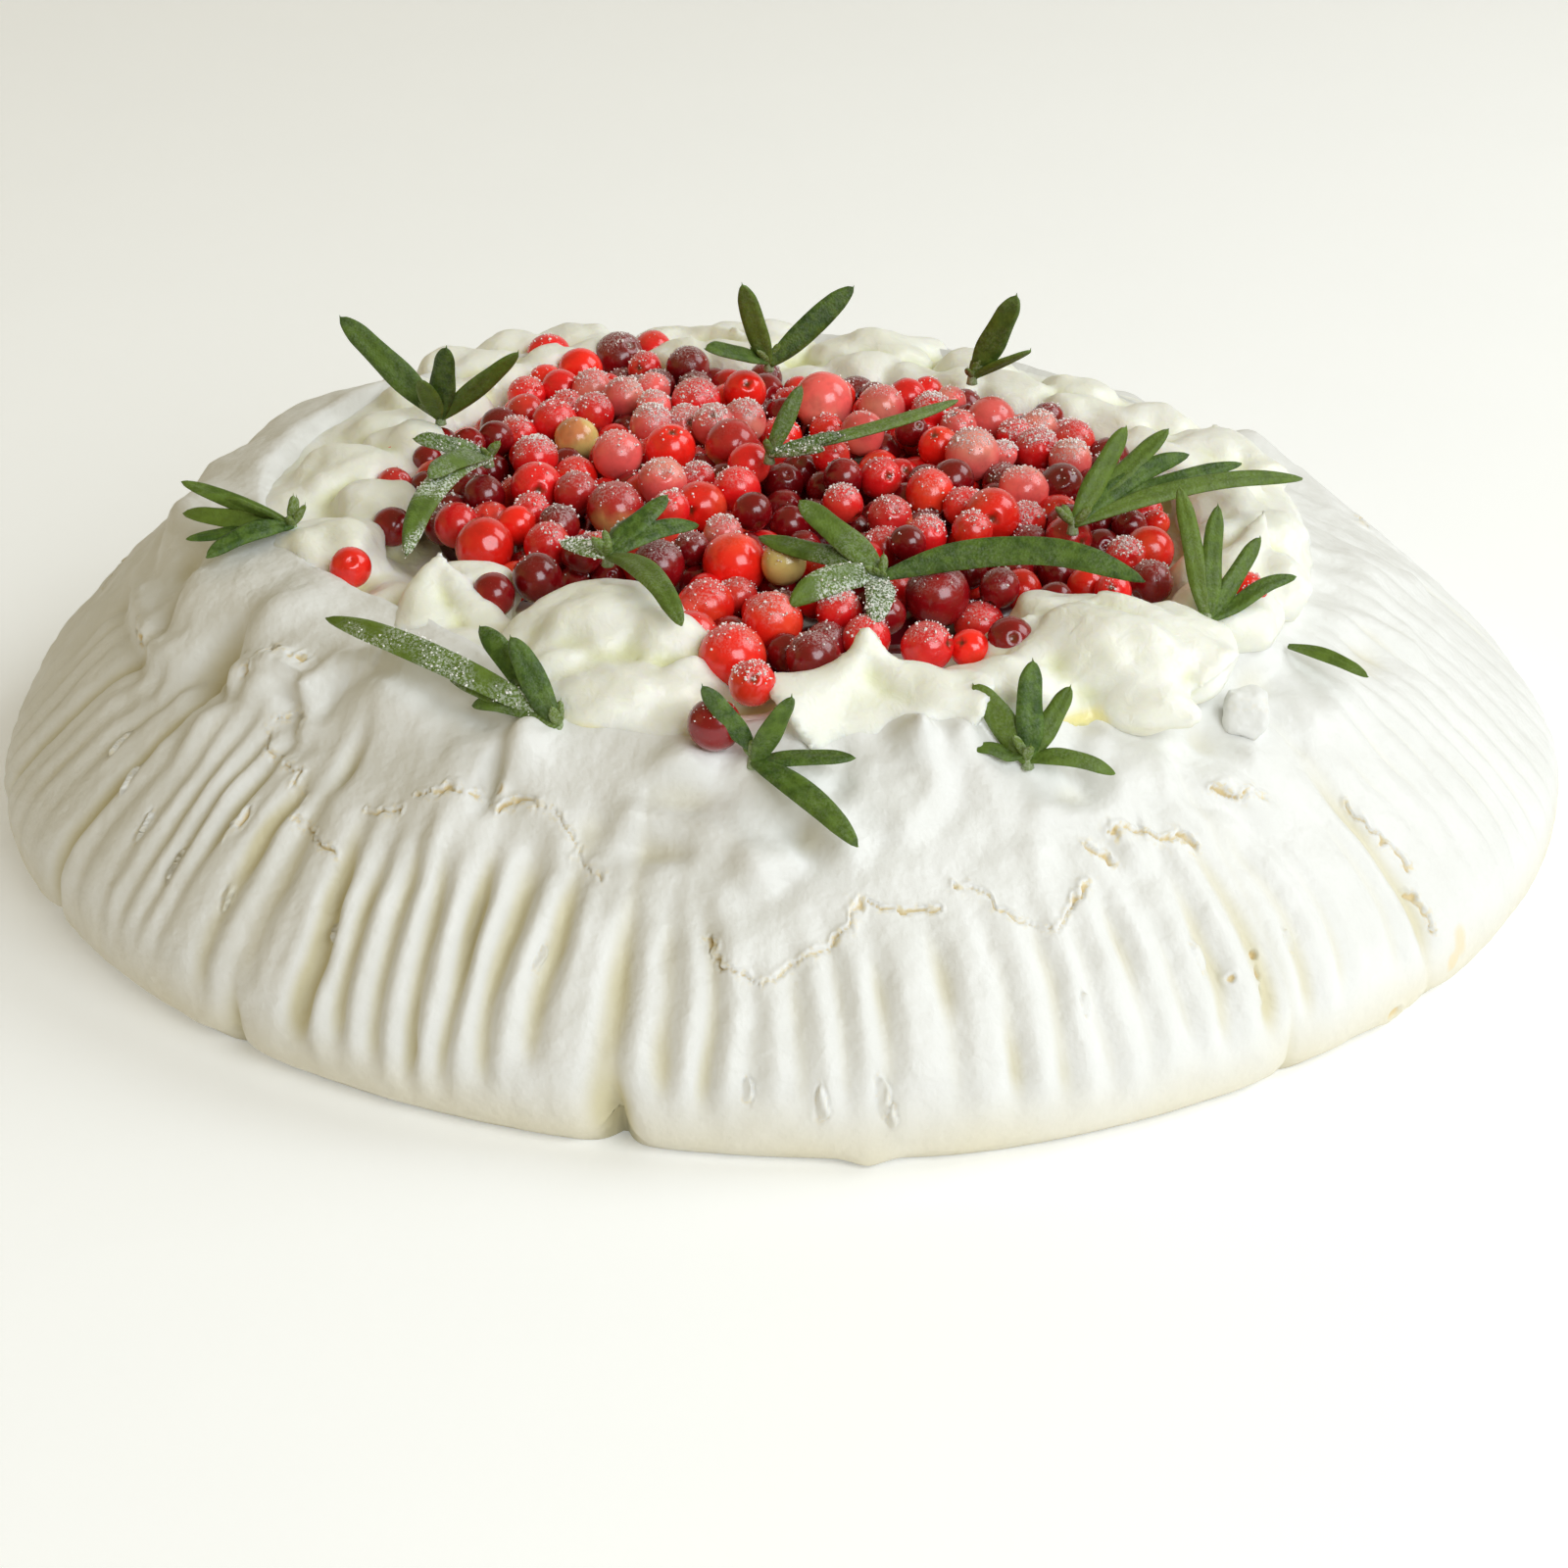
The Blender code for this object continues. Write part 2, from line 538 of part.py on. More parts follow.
def build():
    clear_scene()
    ground = Ground()
    white = material("meringue", (0.90, 0.88, 0.83), 0.55)
    soft = material("whipped_cream", (0.93, 0.92, 0.82), 0.35)
    red = material("berry_skin", (0.55, 0.015, 0.025), 0.28)
    green = material("rosemary_green", (0.09, 0.17, 0.06), 0.55)

    base, turn = meringue()
    filling = cream(turn)
    pile = heap()
    made = [(base, white), (filling, soft), (pile, red)]
    for obj in (base, filling, pile):
        ground.add(obj)
    for name, (x, y, d) in BERRIES.items():
        obj = berry(name, x, y, d, ground)
        ground.add(obj)
        made.append((obj, red))
    for name, (foot, leaves) in SPRIGS.items():
        obj = sprig(name, foot, leaves, ground)
        ground.add(obj)
        made.append((obj, green))

    span = np.array([v.co[:2] for v in base.data.vertices])
    middle = (span.min(0) + span.max(0)) / 2
    for obj, mat in made:
        obj.data.materials.clear()
        obj.data.materials.append(mat)
        obj.location.x -= middle[0]
        obj.location.y -= middle[1]
    bpy.context.view_layer.update()


build()
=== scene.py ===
"""Looks of the pavlova: fluted meringue, whipped cream, berries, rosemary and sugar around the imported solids.

Lengths inside the functions are millimetres in the part's own frame; MM turns them into metres when a mesh is made.
Angles are degrees, 0 towards +X and -90 towards the front.
"""
import itertools
import math

import bmesh
import bpy
import numpy as np
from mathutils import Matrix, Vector
from mathutils.bvhtree import BVHTree


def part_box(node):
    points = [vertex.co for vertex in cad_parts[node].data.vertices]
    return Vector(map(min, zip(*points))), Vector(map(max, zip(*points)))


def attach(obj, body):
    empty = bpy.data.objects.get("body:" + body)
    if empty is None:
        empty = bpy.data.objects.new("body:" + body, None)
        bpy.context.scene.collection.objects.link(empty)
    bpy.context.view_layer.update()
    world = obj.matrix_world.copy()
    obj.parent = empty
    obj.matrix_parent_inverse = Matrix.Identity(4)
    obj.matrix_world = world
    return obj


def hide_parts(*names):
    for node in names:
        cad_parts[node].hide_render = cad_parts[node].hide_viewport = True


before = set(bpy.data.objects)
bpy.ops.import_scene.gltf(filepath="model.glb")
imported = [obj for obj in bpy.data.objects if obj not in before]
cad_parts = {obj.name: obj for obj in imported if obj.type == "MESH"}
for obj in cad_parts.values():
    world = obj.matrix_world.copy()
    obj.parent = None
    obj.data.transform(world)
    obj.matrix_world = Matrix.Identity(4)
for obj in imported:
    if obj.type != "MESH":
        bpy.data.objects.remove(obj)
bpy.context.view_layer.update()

MM = 0.001


def node_box(name):
    low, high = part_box(name)
    return np.array(low) / MM, np.array(high) / MM


BASE_LOW, BASE_HIGH = node_box("meringue")
# The tables below are in millimetres for a base 251.1 mm across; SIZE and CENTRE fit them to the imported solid.
SIZE = (BASE_HIGH - BASE_LOW)[0] / 251.1
CENTRE = np.array([*((BASE_LOW + BASE_HIGH)[:2] / 2), BASE_LOW[2]])
SHIFT = np.array([-0.17, 1.66, 0.0])  # from the wall's own centre to the middle of its box


def fit(points):
    """Table millimetres, measured from the middle of the base, to the frame's millimetres."""
    return np.array(points, float) * SIZE + CENTRE


def smooth(low, high, x):
    t = np.clip((np.asarray(x, float) - low) / (high - low), 0, 1)
    return t * t * (3 - 2 * t)


class Noise:
    """Smooth uneven number between -1 and 1 for points in space, the same each run."""

    def __init__(self, seed):
        self.table = np.random.default_rng(seed).uniform(-1, 1, 8192)

    def __call__(self, points, size):
        q = np.asarray(points, float) / size + 517.3
        cell = np.floor(q).astype(np.int64)
        f = q - cell
        f = f * f * (3 - 2 * f)
        total = 0.0
        for dx, dy, dz in itertools.product((0, 1), repeat=3):
            h = ((cell[:, 0] + dx) * 73856093) ^ ((cell[:, 1] + dy) * 19349663) ^ ((cell[:, 2] + dz) * 83492791)
            weight = (f[:, 0] if dx else 1 - f[:, 0]) * (f[:, 1] if dy else 1 - f[:, 1]) * (f[:, 2] if dz else 1 - f[:, 2])
            total = total + self.table[(h ^ (h >> 13)) & 8191] * weight
        return total


def fractal(noise, points, size, octaves=3, keep=0.5):
    total, share = 0.0, 1.0
    for k in range(octaves):
        total = total + share * noise(np.asarray(points) + 31.7 * k, size / 2**k)
        share *= keep
    return total


def make(name, verts, faces, mat, attributes=None, colours=None, flat=False):
    """Mesh object from points in millimetres."""
    mesh = bpy.data.meshes.new(name)
    mesh.from_pydata((np.asarray(verts, float) * MM).tolist(), [], faces if isinstance(faces, list) else faces.tolist())
    for key, values in (attributes or {}).items():
        layer = mesh.attributes.new(key, "FLOAT", "POINT")
        layer.data.foreach_set("value", np.asarray(values, np.float32))
    for key, values in (colours or {}).items():
        layer = mesh.attributes.new(key, "FLOAT_COLOR", "POINT")
        rgba = np.ones((len(values), 4), np.float32)
        rgba[:, :3] = values
        layer.data.foreach_set("color", rgba.ravel())
    mesh.update()
    if not flat:
        mesh.shade_smooth()
    obj = bpy.data.objects.new(name, mesh)
    bpy.context.scene.collection.objects.link(obj)
    if mat is not None:
        mesh.materials.append(mat)
    return obj


def points_of(mesh):
    co = np.empty(len(mesh.vertices) * 3, np.float32)
    mesh.vertices.foreach_get("co", co)
    return co.reshape(-1, 3).astype(float) / MM


def normals_of(mesh):
    co = np.empty(len(mesh.vertices) * 3, np.float32)
    mesh.vertex_normals.foreach_get("vector", co)
    return co.reshape(-1, 3).astype(float)


def move_points(mesh, points):
    mesh.vertices.foreach_set("co", (points * MM).astype(np.float32).ravel())
    mesh.update()


def set_attribute(mesh, key, values):
    layer = mesh.attributes.get(key) or mesh.attributes.new(key, "FLOAT", "POINT")
    layer.data.foreach_set("value", np.asarray(values, np.float32))


def near_line(points, line):
    """Distance of each point to a broken line, and the side that it lies on (+ above)."""
    best = np.full(len(points), 1e9)
    side = np.zeros(len(points))
    for a, b in zip(line, line[1:]):
        a, b = np.array(a, float), np.array(b, float)
        d = b - a
        t = np.clip((points - a) @ d / max(d @ d, 1e-9), 0, 1)
        away = points - (a + t[:, None] * d)
        length = np.linalg.norm(away, axis=1)
        closer = length < best
        best = np.where(closer, length, best)
        side = np.where(closer, np.sign(away[:, 2]), side)
    return best, side


# ---------------------------------------------------------------- materials

class Shader:
    """Short way to write a node material."""

    def __init__(self, name):
        self.mat = bpy.data.materials.new(name)
        self.mat.use_nodes = True
        self.tree = self.mat.node_tree
        self.main = self.tree.nodes["Principled BSDF"]

    def node(self, kind, **settings):
        node = self.tree.nodes.new(kind)
        for key, value in settings.items():
            setattr(node, key, value)
        return node

    def link(self, a, b):
        self.tree.links.new(a, b)

    def put(self, socket, value):
        if isinstance(value, bpy.types.NodeSocket):
            self.link(value, socket)
        else:
            socket.default_value = value

    def attribute(self, name, colour=False):
        node = self.node("ShaderNodeAttribute", attribute_name=name)
        return node.outputs["Color" if colour else "Fac"]

    def place(self):
        return self.node("ShaderNodeTexCoord").outputs["Object"]

    def noise(self, per_mm, detail=3.0, rough=0.55, distort=0.0):
        node = self.node("ShaderNodeTexNoise")
        self.link(self.place(), node.inputs["Vector"])
        node.inputs["Scale"].default_value = 1000.0 * per_mm
        node.inputs["Detail"].default_value = detail
        node.inputs["Roughness"].default_value = rough
        node.inputs["Distortion"].default_value = distort
        return node.outputs["Fac"]

    def cells(self, per_mm, feature="F1", random=1.0):
        node = self.node("ShaderNodeTexVoronoi", feature=feature)
        self.link(self.place(), node.inputs["Vector"])
        node.inputs["Scale"].default_value = 1000.0 * per_mm
        node.inputs["Randomness"].default_value = random
        return node.outputs["Distance"]

    def ramp(self, value, low, high, out_low=0.0, out_high=1.0, soft=True):
        node = self.node("ShaderNodeMapRange", interpolation_type="SMOOTHSTEP" if soft else "LINEAR")
        self.put(node.inputs["Value"], value)
        node.inputs["From Min"].default_value = low
        node.inputs["From Max"].default_value = high
        node.inputs["To Min"].default_value = out_low
        node.inputs["To Max"].default_value = out_high
        return node.outputs["Result"]

    def math(self, operation, a, b=0.0, clamp=False):
        node = self.node("ShaderNodeMath", operation=operation, use_clamp=clamp)
        self.put(node.inputs[0], a)
        self.put(node.inputs[1], b)
        return node.outputs[0]

    def mix(self, factor, a, b, blend="MIX"):
        node = self.node("ShaderNodeMix", data_type="RGBA", blend_type=blend)
        self.put(node.inputs[0], factor)
        self.put(node.inputs[6], (*a, 1) if isinstance(a, tuple) else a)
        self.put(node.inputs[7], (*b, 1) if isinstance(b, tuple) else b)
        return node.outputs[2]

    def height(self):
        """Height above the surface the part stands on, in metres."""
        split = self.node("ShaderNodeSeparateXYZ")
        self.link(self.place(), split.inputs[0])
        return split.outputs["Z"]

    def bump(self, height, millimetres, strength=1.0, under=None):
        node = self.node("ShaderNodeBump")
        node.inputs["Distance"].default_value = millimetres * MM
        node.inputs["Strength"].default_value = strength
        self.link(height, node.inputs["Height"])
        if under is not None:
            self.link(under, node.inputs["Normal"])
        return node.outputs["Normal"]

    def set(self, **values):
        for key, value in values.items():
            self.put(self.main.inputs[key.replace("_", " ")], value)


def meringue_material():
    s = Shader("meringue_crust")
    hollow_shade, crack, stain, frayed = (s.attribute(k) for k in ("hollow_shade", "crack", "stain", "frayed"))
    base = s.mix(s.ramp(s.noise(0.09, 2), 0.35, 0.7), (0.755, 0.756, 0.745), (0.785, 0.786, 0.782))
    # warm beige towards the foot: partly the crust's baked tone, partly painted shade near the floor
    low = s.ramp(s.math("ADD", s.height(), s.math("MULTIPLY", s.noise(0.05, 2), 0.008)), 0.001, 0.017, 1.0, 0.0)
    base = s.mix(s.math("MULTIPLY", low, 0.9), base, (0.725, 0.66, 0.475))
    # painted shade: the grooves, nicks and dents are tinted olive-beige, as the shade that falls in them
    base = s.mix(s.math("MULTIPLY", s.ramp(hollow_shade, 0.15, 1.0), 0.85), base, (0.62, 0.565, 0.36))
    base = s.mix(s.math("MULTIPLY", frayed, s.ramp(s.noise(1.1, 2), 0.47, 0.68)), base, (0.76, 0.66, 0.42))
    base = s.mix(s.ramp(stain, 0.1, 0.9), base, (0.80, 0.56, 0.15))
    base = s.mix(s.ramp(crack, 0.10, 0.80), base, (0.72, 0.58, 0.32))
    grain = s.noise(2.3, 2, 0.6)
    soft = s.noise(0.32, 2, 0.5)
    n = s.bump(soft, 0.55, 0.8)
    n = s.bump(grain, 0.06, 0.7, n)
    s.set(Base_Color=base, Roughness=s.ramp(s.noise(0.22, 2), 0.3, 0.7, 0.42, 0.60), Normal=n)
    s.main.inputs["Subsurface Weight"].default_value = 0.0
    s.main.inputs["Subsurface Radius"].default_value = (1.0, 0.85, 0.6)
    s.main.inputs["Subsurface Scale"].default_value = 0.0016
    s.main.inputs["Specular IOR Level"].default_value = 0.42
    return s.mat


def cream_material():
    s = Shader("whipped_cream")
    melt, fold_shade = s.attribute("melt"), s.attribute("fold_shade")
    base = s.mix(s.ramp(s.noise(0.12, 2), 0.3, 0.7), (0.835, 0.838, 0.755), (0.865, 0.868, 0.820))
    # painted shade: creases and hollows of the cream tinted yellow-green, as the shade in its folds
    base = s.mix(s.math("MULTIPLY", fold_shade, 0.95), base, (0.76, 0.77, 0.44))
    base = s.mix(s.ramp(melt, 0.1, 1.0), base, (0.88, 0.79, 0.36))
    n = s.bump(s.noise(0.35, 3, 0.5, 0.5), 0.5, 0.7)
    n = s.bump(s.noise(1.9, 3, 0.6), 0.05, 0.6, n)
    s.set(Base_Color=base, Roughness=s.ramp(melt, 0.2, 1.0, 0.40, 0.18), Normal=n)
    s.main.inputs["Subsurface Weight"].default_value = 0.4
    s.main.inputs["Subsurface Radius"].default_value = (1.0, 0.85, 0.45)
    s.main.inputs["Subsurface Scale"].default_value = 0.0022
    s.main.inputs["Specular IOR Level"].default_value = 0.45
    return s.mat


def berry_material(name):
    s = Shader(name)
    skin = s.attribute("skin", True)
    frost, calyx = s.attribute("frost"), s.attribute("calyx")
    base = s.mix(s.math("MULTIPLY", s.ramp(s.noise(0.35, 3, 0.6), 0.42, 0.70), 0.22), skin, (0.10, 0.002, 0.006), "MULTIPLY")
    specks = s.ramp(s.cells(1.5), 0.0, 0.20, 1.0, 0.0)
    base = s.mix(s.math("MULTIPLY", specks, 0.12), base, (0.95, 0.40, 0.30))
    base = s.mix(s.ramp(calyx, 0.35, 0.9), base, (0.16, 0.035, 0.012))
    grit = s.ramp(s.noise(2.6, 3, 0.72), 0.44, 0.62)
    powder = s.math("MULTIPLY", s.ramp(frost, 0.05, 1.0), s.math("ADD", s.math("MULTIPLY", grit, 0.92), 0.05), True)
    base = s.mix(powder, base, (0.93, 0.80, 0.82))
    n = s.bump(s.noise(0.9, 2, 0.5), 0.07, 0.5)
    n = s.bump(s.math("MULTIPLY", grit, powder), 0.14, 0.9, n)
    s.set(Base_Color=base, Roughness=s.ramp(powder, 0.0, 0.7, 0.20, 0.62), Normal=n)
    s.main.inputs["Subsurface Weight"].default_value = 0.0
    s.main.inputs["Subsurface Radius"].default_value = (1.0, 0.12, 0.08)
    s.main.inputs["Subsurface Scale"].default_value = 0.0012
    s.main.inputs["Specular IOR Level"].default_value = 0.55
    s.main.inputs["Coat Weight"].default_value = 0.25
    s.main.inputs["Coat Roughness"].default_value = 0.10
    return s.mat


def leaf_material():
    s = Shader("rosemary_leaf")
    under, mid, frost, tint = (s.attribute(k) for k in ("under", "midrib", "frost", "tint"))
    base = s.mix(s.ramp(s.noise(0.5, 3, 0.6), 0.35, 0.65), (0.030, 0.072, 0.006), (0.085, 0.155, 0.018))
    base = s.mix(s.math("MULTIPLY", tint, 0.8), base, (0.165, 0.235, 0.030))
    base = s.mix(s.math("MULTIPLY", s.ramp(s.cells(2.2), 0.05, 0.35, 1.0, 0.0), 0.20), base, (0.12, 0.20, 0.08))
    base = s.mix(s.math("MULTIPLY", mid, 0.30), base, (0.16, 0.25, 0.08))
    base = s.mix(s.math("MULTIPLY", under, 0.85), base, (0.30, 0.36, 0.22))
    powder = s.math("MULTIPLY", frost, s.ramp(s.noise(2.4, 3, 0.7), 0.44, 0.60), True)
    base = s.mix(powder, base, (0.82, 0.86, 0.84))
    n = s.bump(s.noise(1.4, 3, 0.6), 0.16, 0.9)
    n = s.bump(s.cells(2.4), 0.07, 0.8, n)
    s.set(Base_Color=base, Roughness=s.ramp(s.noise(1.0, 2), 0.3, 0.7, 0.42, 0.62), Normal=n)
    s.main.inputs["Specular IOR Level"].default_value = 0.30
    s.main.inputs["Subsurface Weight"].default_value = 0.08
    s.main.inputs["Subsurface Radius"].default_value = (0.4, 0.8, 0.2)
    s.main.inputs["Subsurface Scale"].default_value = 0.0008
    return s.mat


def sugar_material():
    s = Shader("sugar_grain")
    base = s.mix(s.noise(1.0, 1), (0.92, 0.90, 0.90), (0.97, 0.96, 0.97))
    s.set(Base_Color=base, Roughness=0.22, Normal=s.bump(s.noise(6.0, 1), 0.02, 0.5))
    s.main.inputs["Subsurface Weight"].default_value = 0.4
    s.main.inputs["Subsurface Radius"].default_value = (1.0, 0.9, 0.9)
    s.main.inputs["Subsurface Scale"].default_value = 0.0003
    return s.mat


def floor_material():
    s = Shader("pale_floor")
    s.set(Base_Color=s.mix(s.noise(0.02, 2), (0.93, 0.93, 0.93), (0.95, 0.95, 0.95)), Roughness=0.7)
    s.main.inputs["Specular IOR Level"].default_value = 0.15
    s.main.inputs["Emission Color"].default_value = (0.80, 0.88, 1.0, 1)
    s.main.inputs["Emission Strength"].default_value = 0.20
    return s.mat


# ---------------------------------------------------------------- meringue

WALL_Z = (0.0, 6.0, 14.0, 22.0, 30.0, 38.0, 44.0, 50.0, 54.0)
WALL_LEFT = (122.3, 124.6, 124.7, 120.4, 113.1, 105.3, 98.5, 91.8, 83.2)
WALL_RIGHT = (124.4, 125.2, 123.7, 117.5, 109.2, 99.4, 87.4, 74.4, 61.4)
WALL_FRONT = (123.4, 124.9, 124.2, 119.2, 111.6, 102.9, 95.4, 86.0, 74.0)
WALL_BACK = (122.2, 120.4, 117.8, 113.8, 108.1, 100.9, 92.4, 83.3, 74.2)
FOOT = ((-180, 123.0), (-169, 123.5), (-152, 120.5), (-137, 120.1), (-115, 121.3), (-96, 123.0), (-78, 126.0),
        (-50, 123.0), (-25, 123.2), (-7, 125.5), (30, 124.0), (62, 122.4), (95, 122.2), (125, 122.8), (180, 123.0))
# strokes of the spatula: start angle, number of flutes, flute depth, lean in degrees per 10 mm of height
STROKES = ((-180, 5, 0.9, 2.2), (-165.5, 4, 1.1, 2.6), (-151.5, 7, 1.2, 1.6), (-129, 9, 1.5, 0.5), (-100.4, 5, 1.4, 0.0),
           (-85, 9, 1.3, -0.3), (-55, 4, 1.0, -0.3), (-41, 6, 0.7, -0.8), (-20, 7, 0.7, -1.2), (4, 8, 0.8, -1.0),
           (31, 8, 1.1, -0.5), (58, 8, 1.2, 0.4), (85, 8, 1.2, 0.8), (112, 9, 1.1, 1.2), (142, 11, 1.0, 1.8), (180, 0, 0.9, 2.2))
NICKS = ((-165.5, 3.2, 1.6), (-151.5, 1.4, 1.2), (-129, 3.0, 0.9), (-100.4, 6.5, 1.2), (-55, 1.6, 1.0), (-41, 1.0, 1.2),
         (4, 2.6, 1.0), (31, 2.2, 1.0), (58, 3.6, 1.6), (85, 1.8, 1.2), (112, 4.2, 1.6), (142, 2.4, 1.2))
CREAM_EDGE = ((-180, 85), (-165, 84), (-150, 83), (-133, 80), (-120, 84), (-112, 89), (-101, 92), (-90, 90), (-81, 91),
              (-71, 90), (-62, 92), (-47, 90), (-35, 86), (-20, 86), (0, 84), (20, 82), (40, 80), (60, 78), (90, 78),
              (120, 80), (150, 84), (180, 85))
HOLLOW = 40.0
# grooves between the flutes of the front and the left: angle at 20 mm height, depth, half width in degrees, lowest and highest level
GROOVES = ((-176, 1.0, 0.9, 8, 44), (-172.5, 1.2, 0.9, 10, 46), (-169, 0.9, 0.8, 9, 45), (-164.5, 1.5, 1.0, 6, 47),
           (-161.6, 0.9, 0.8, 12, 44), (-158.5, 1.5, 1.0, 8, 46), (-155.2, 1.2, 0.9, 12, 45), (-151, 2.2, 1.1, 6, 45),
           (-147.6, 1.2, 0.9, 10, 43), (-144, 1.7, 1.0, 9, 43), (-141, 1.8, 0.9, 10, 42), (-138.5, 1.5, 0.8, 12, 43),
           (-136, 1.6, 0.8, 11, 42), (-131.3, 2.0, 1.1, 8, 40), (-127.6, 1.2, 0.9, 14, 38), (-123.5, 2.6, 1.2, 7, 38),
           (-120.3, 1.9, 0.9, 9, 36), (-117.5, 2.0, 0.9, 8, 37), (-114.5, 2.1, 0.9, 7, 35), (-111.5, 2.0, 0.9, 7, 36),
           (-108.1, 1.9, 1.0, 9, 33), (-104.7, 1.5, 1.0, 12, 36), (-100.6, 1.2, 1.0, 3, 31), (-97.4, 1.5, 0.9, 9, 33),
           (-94.8, 1.6, 0.8, 8, 34), (-92.0, 0.8, 0.8, 10, 28), (-89.4, 1.5, 0.9, 9, 30), (-86.8, 1.4, 0.8, 9, 32),
           (-84.0, 1.6, 0.9, 7, 30), (-79.6, 1.3, 1.0, 9, 31), (-75.7, 1.5, 0.9, 9, 32), (-72.4, 1.6, 0.9, 8, 32),
           (-69.5, 1.4, 0.8, 9, 31), (-66.5, 1.3, 0.8, 10, 32), (-63.0, 0.8, 0.8, 12, 30), (-60.0, 1.3, 0.9, 10, 33),
           (-56.8, 1.5, 0.9, 9, 34), (-53.5, 1.3, 0.8, 9, 33), (-50.3, 1.2, 0.8, 10, 32), (-44.6, 1.3, 0.9, 9, 34),
           (-41.4, 1.6, 0.9, 9, 36), (-37.0, 0.8, 0.7, 10, 38), (-33.2, 0.9, 0.7, 10, 41), (-29.5, 0.8, 0.6, 9, 42),
           (-26.4, 0.9, 0.7, 8, 44), (-23.4, 0.7, 0.6, 8, 45), (-20.6, 0.9, 0.7, 8, 46), (-17.3, 0.8, 0.6, 8, 47),
           (-14.2, 0.9, 0.7, 8, 47), (-11.0, 0.8, 0.7, 8, 47), (-7.6, 0.8, 0.7, 8, 46), (-4.0, 0.8, 0.7, 8, 46))
# swellings (+) and dents (-) of the crust: place, height, half width along and up
LUMPS = ((-60.8, -77.4, 39.9, -1.6, 1.6, 3.4), (-26.2, -96.8, 38.4, -1.1, 2.6, 3.2), (-84.5, -50.3, 42.5, -3.0, 5.0, 4.0),
         (-80.5, -46.0, 44.5, -1.6, 4.0, 4.0), (60.4, -72.5, 41.2, -1.5, 3.2, 3.0), (69.7, -56.5, 43.4, -2.4, 4.5, 2.6),
         (-15.4, -100.1, 37.0, -1.2, 4.2, 1.9), (4.0, -100.5, 38.7, -1.3, 3.0, 2.6), (-39.6, -87.4, 42.3, -2.2, 1.6, 4.6),
         (-12.8, -95.0, 42.3, -1.8, 5.0, 2.0), (-34.9, -84.4, 45.3, 2.6, 3.6, 3.6), (-12.8, -91.0, 45.2, 2.8, 5.0, 3.2),
         (18.5, -87.6, 47.0, 3.6, 2.1, 2.1), (24.6, -86.5, 46.6, 2.0, 2.6, 2.2), (34.1, -84.0, 45.7, 2.0, 3.2, 2.4),
         (66.7, -73.2, 38.1, 1.4, 1.8, 1.6), (69.4, -51.0, 46.8, 2.6, 5.5, 4.0), (-73.5, -61.0, 43.8, 2.2, 4.6, 3.6),
         (-53.5, -71.5, 46.8, 2.2, 7.0, 4.0), (-84.2, -60.5, 38.5, 1.4, 4.5, 4.0), (-71.5, -48.5, 48.8, 2.4, 6.0, 5.0),
         (-88.0, -35.0, 46.0, 1.8, 6.0, 4.5), (-92.0, -20.0, 47.0, -1.4, 6.0, 3.5), (-93.0, -5.0, 48.5, 1.8, 9.0, 4.0),
         (11.9, -122.7, 1.6, 1.0, 3.4, 2.2), (-72.0, -80.0, 31.0, 1.2, 3.6, 4.5), (-46.5, -92.5, 35.0, 1.3, 4.0, 4.5),
         (-34.0, -99.0, 32.5, -1.0, 2.4, 5.0), (12.0, -104.0, 36.0, 0.9, 6.0, 3.4), (50.0, -86.5, 40.0, 1.1, 5.0, 3.0),
         (41.0, -90.5, 40.6, -1.1, 4.0, 2.2), (-6.6, -112.5, 29.0, 0.9, 4.0, 4.0), (79.0, -60.0, 38.5, 1.2, 6.0, 4.0),
         (88.0, -38.0, 38.5, -0.8, 7.0, 3.0), (90.0, -12.0, 41.0, 1.0, 8.0, 4.0), (78.0, 42.0, 43.0, 1.6, 8.0, 4.0),
         (60.0, 62.0, 45.0, 1.9, 7.0, 4.0), (28.0, 84.0, 45.0, 1.7, 8.0, 4.0), (2.0, 90.0, 44.0, -1.6, 5.0, 4.0),
         (-20.0, 86.0, 46.0, 2.0, 7.0, 4.0), (-48.0, 78.0, 45.0, 1.8, 8.0, 4.0), (-70.0, 62.0, 45.0, -1.6, 6.0, 4.0),
         (-80.0, 44.0, 47.0, 2.0, 8.0, 5.0), (-92.0, 22.0, 46.0, 1.4, 8.0, 4.0))
# soft folds: height, half width, then the line that they follow
FOLDS = ((1.9, 1.9, ((-66.4, -65.0, 45.2), (-63.0, -63.4, 47.6), (-55.7, -64.6, 49.6), (-45.7, -73.9, 50.5), (-37.3, -78.9, 49.3))),
         (1.3, 1.5, ((-79.0, -56.9, 42.5), (-76.9, -55.7, 44.4), (-70.6, -59.2, 46.3), (-67.1, -65.5, 44.6), (-67.5, -70.0, 41.0))),
         (1.1, 2.0, ((-20.0, -96.0, 40.0), (-12.0, -98.5, 39.0), (-6.0, -100.5, 38.0), (-2.5, -104.5, 35.0))),
         (0.9, 1.8, ((36.0, -93.0, 39.0), (42.0, -92.0, 38.5), (47.0, -92.0, 37.0), (49.5, -94.5, 33.5))),
         (1.4, 2.2, ((-92.0, -44.0, 41.0), (-96.0, -34.0, 41.0), (-98.0, -26.0, 41.0), (-100.5, -14.0, 40.0))),
         (1.2, 2.4, ((-4.0, -92.0, 45.5), (4.0, -96.0, 42.5), (9.0, -101.0, 38.5))),
         (0.9, 2.0, ((58.0, -80.0, 38.0), (64.0, -79.0, 36.5), (69.0, -80.0, 33.0))),
         (1.2, 2.2, ((30.0, 92.0, 42.0), (44.0, 84.0, 43.0), (55.0, 76.0, 42.0))),
         (1.2, 2.2, ((-70.0, 72.0, 41.0), (-58.0, 82.0, 42.0), (-44.0, 88.0, 41.0))))
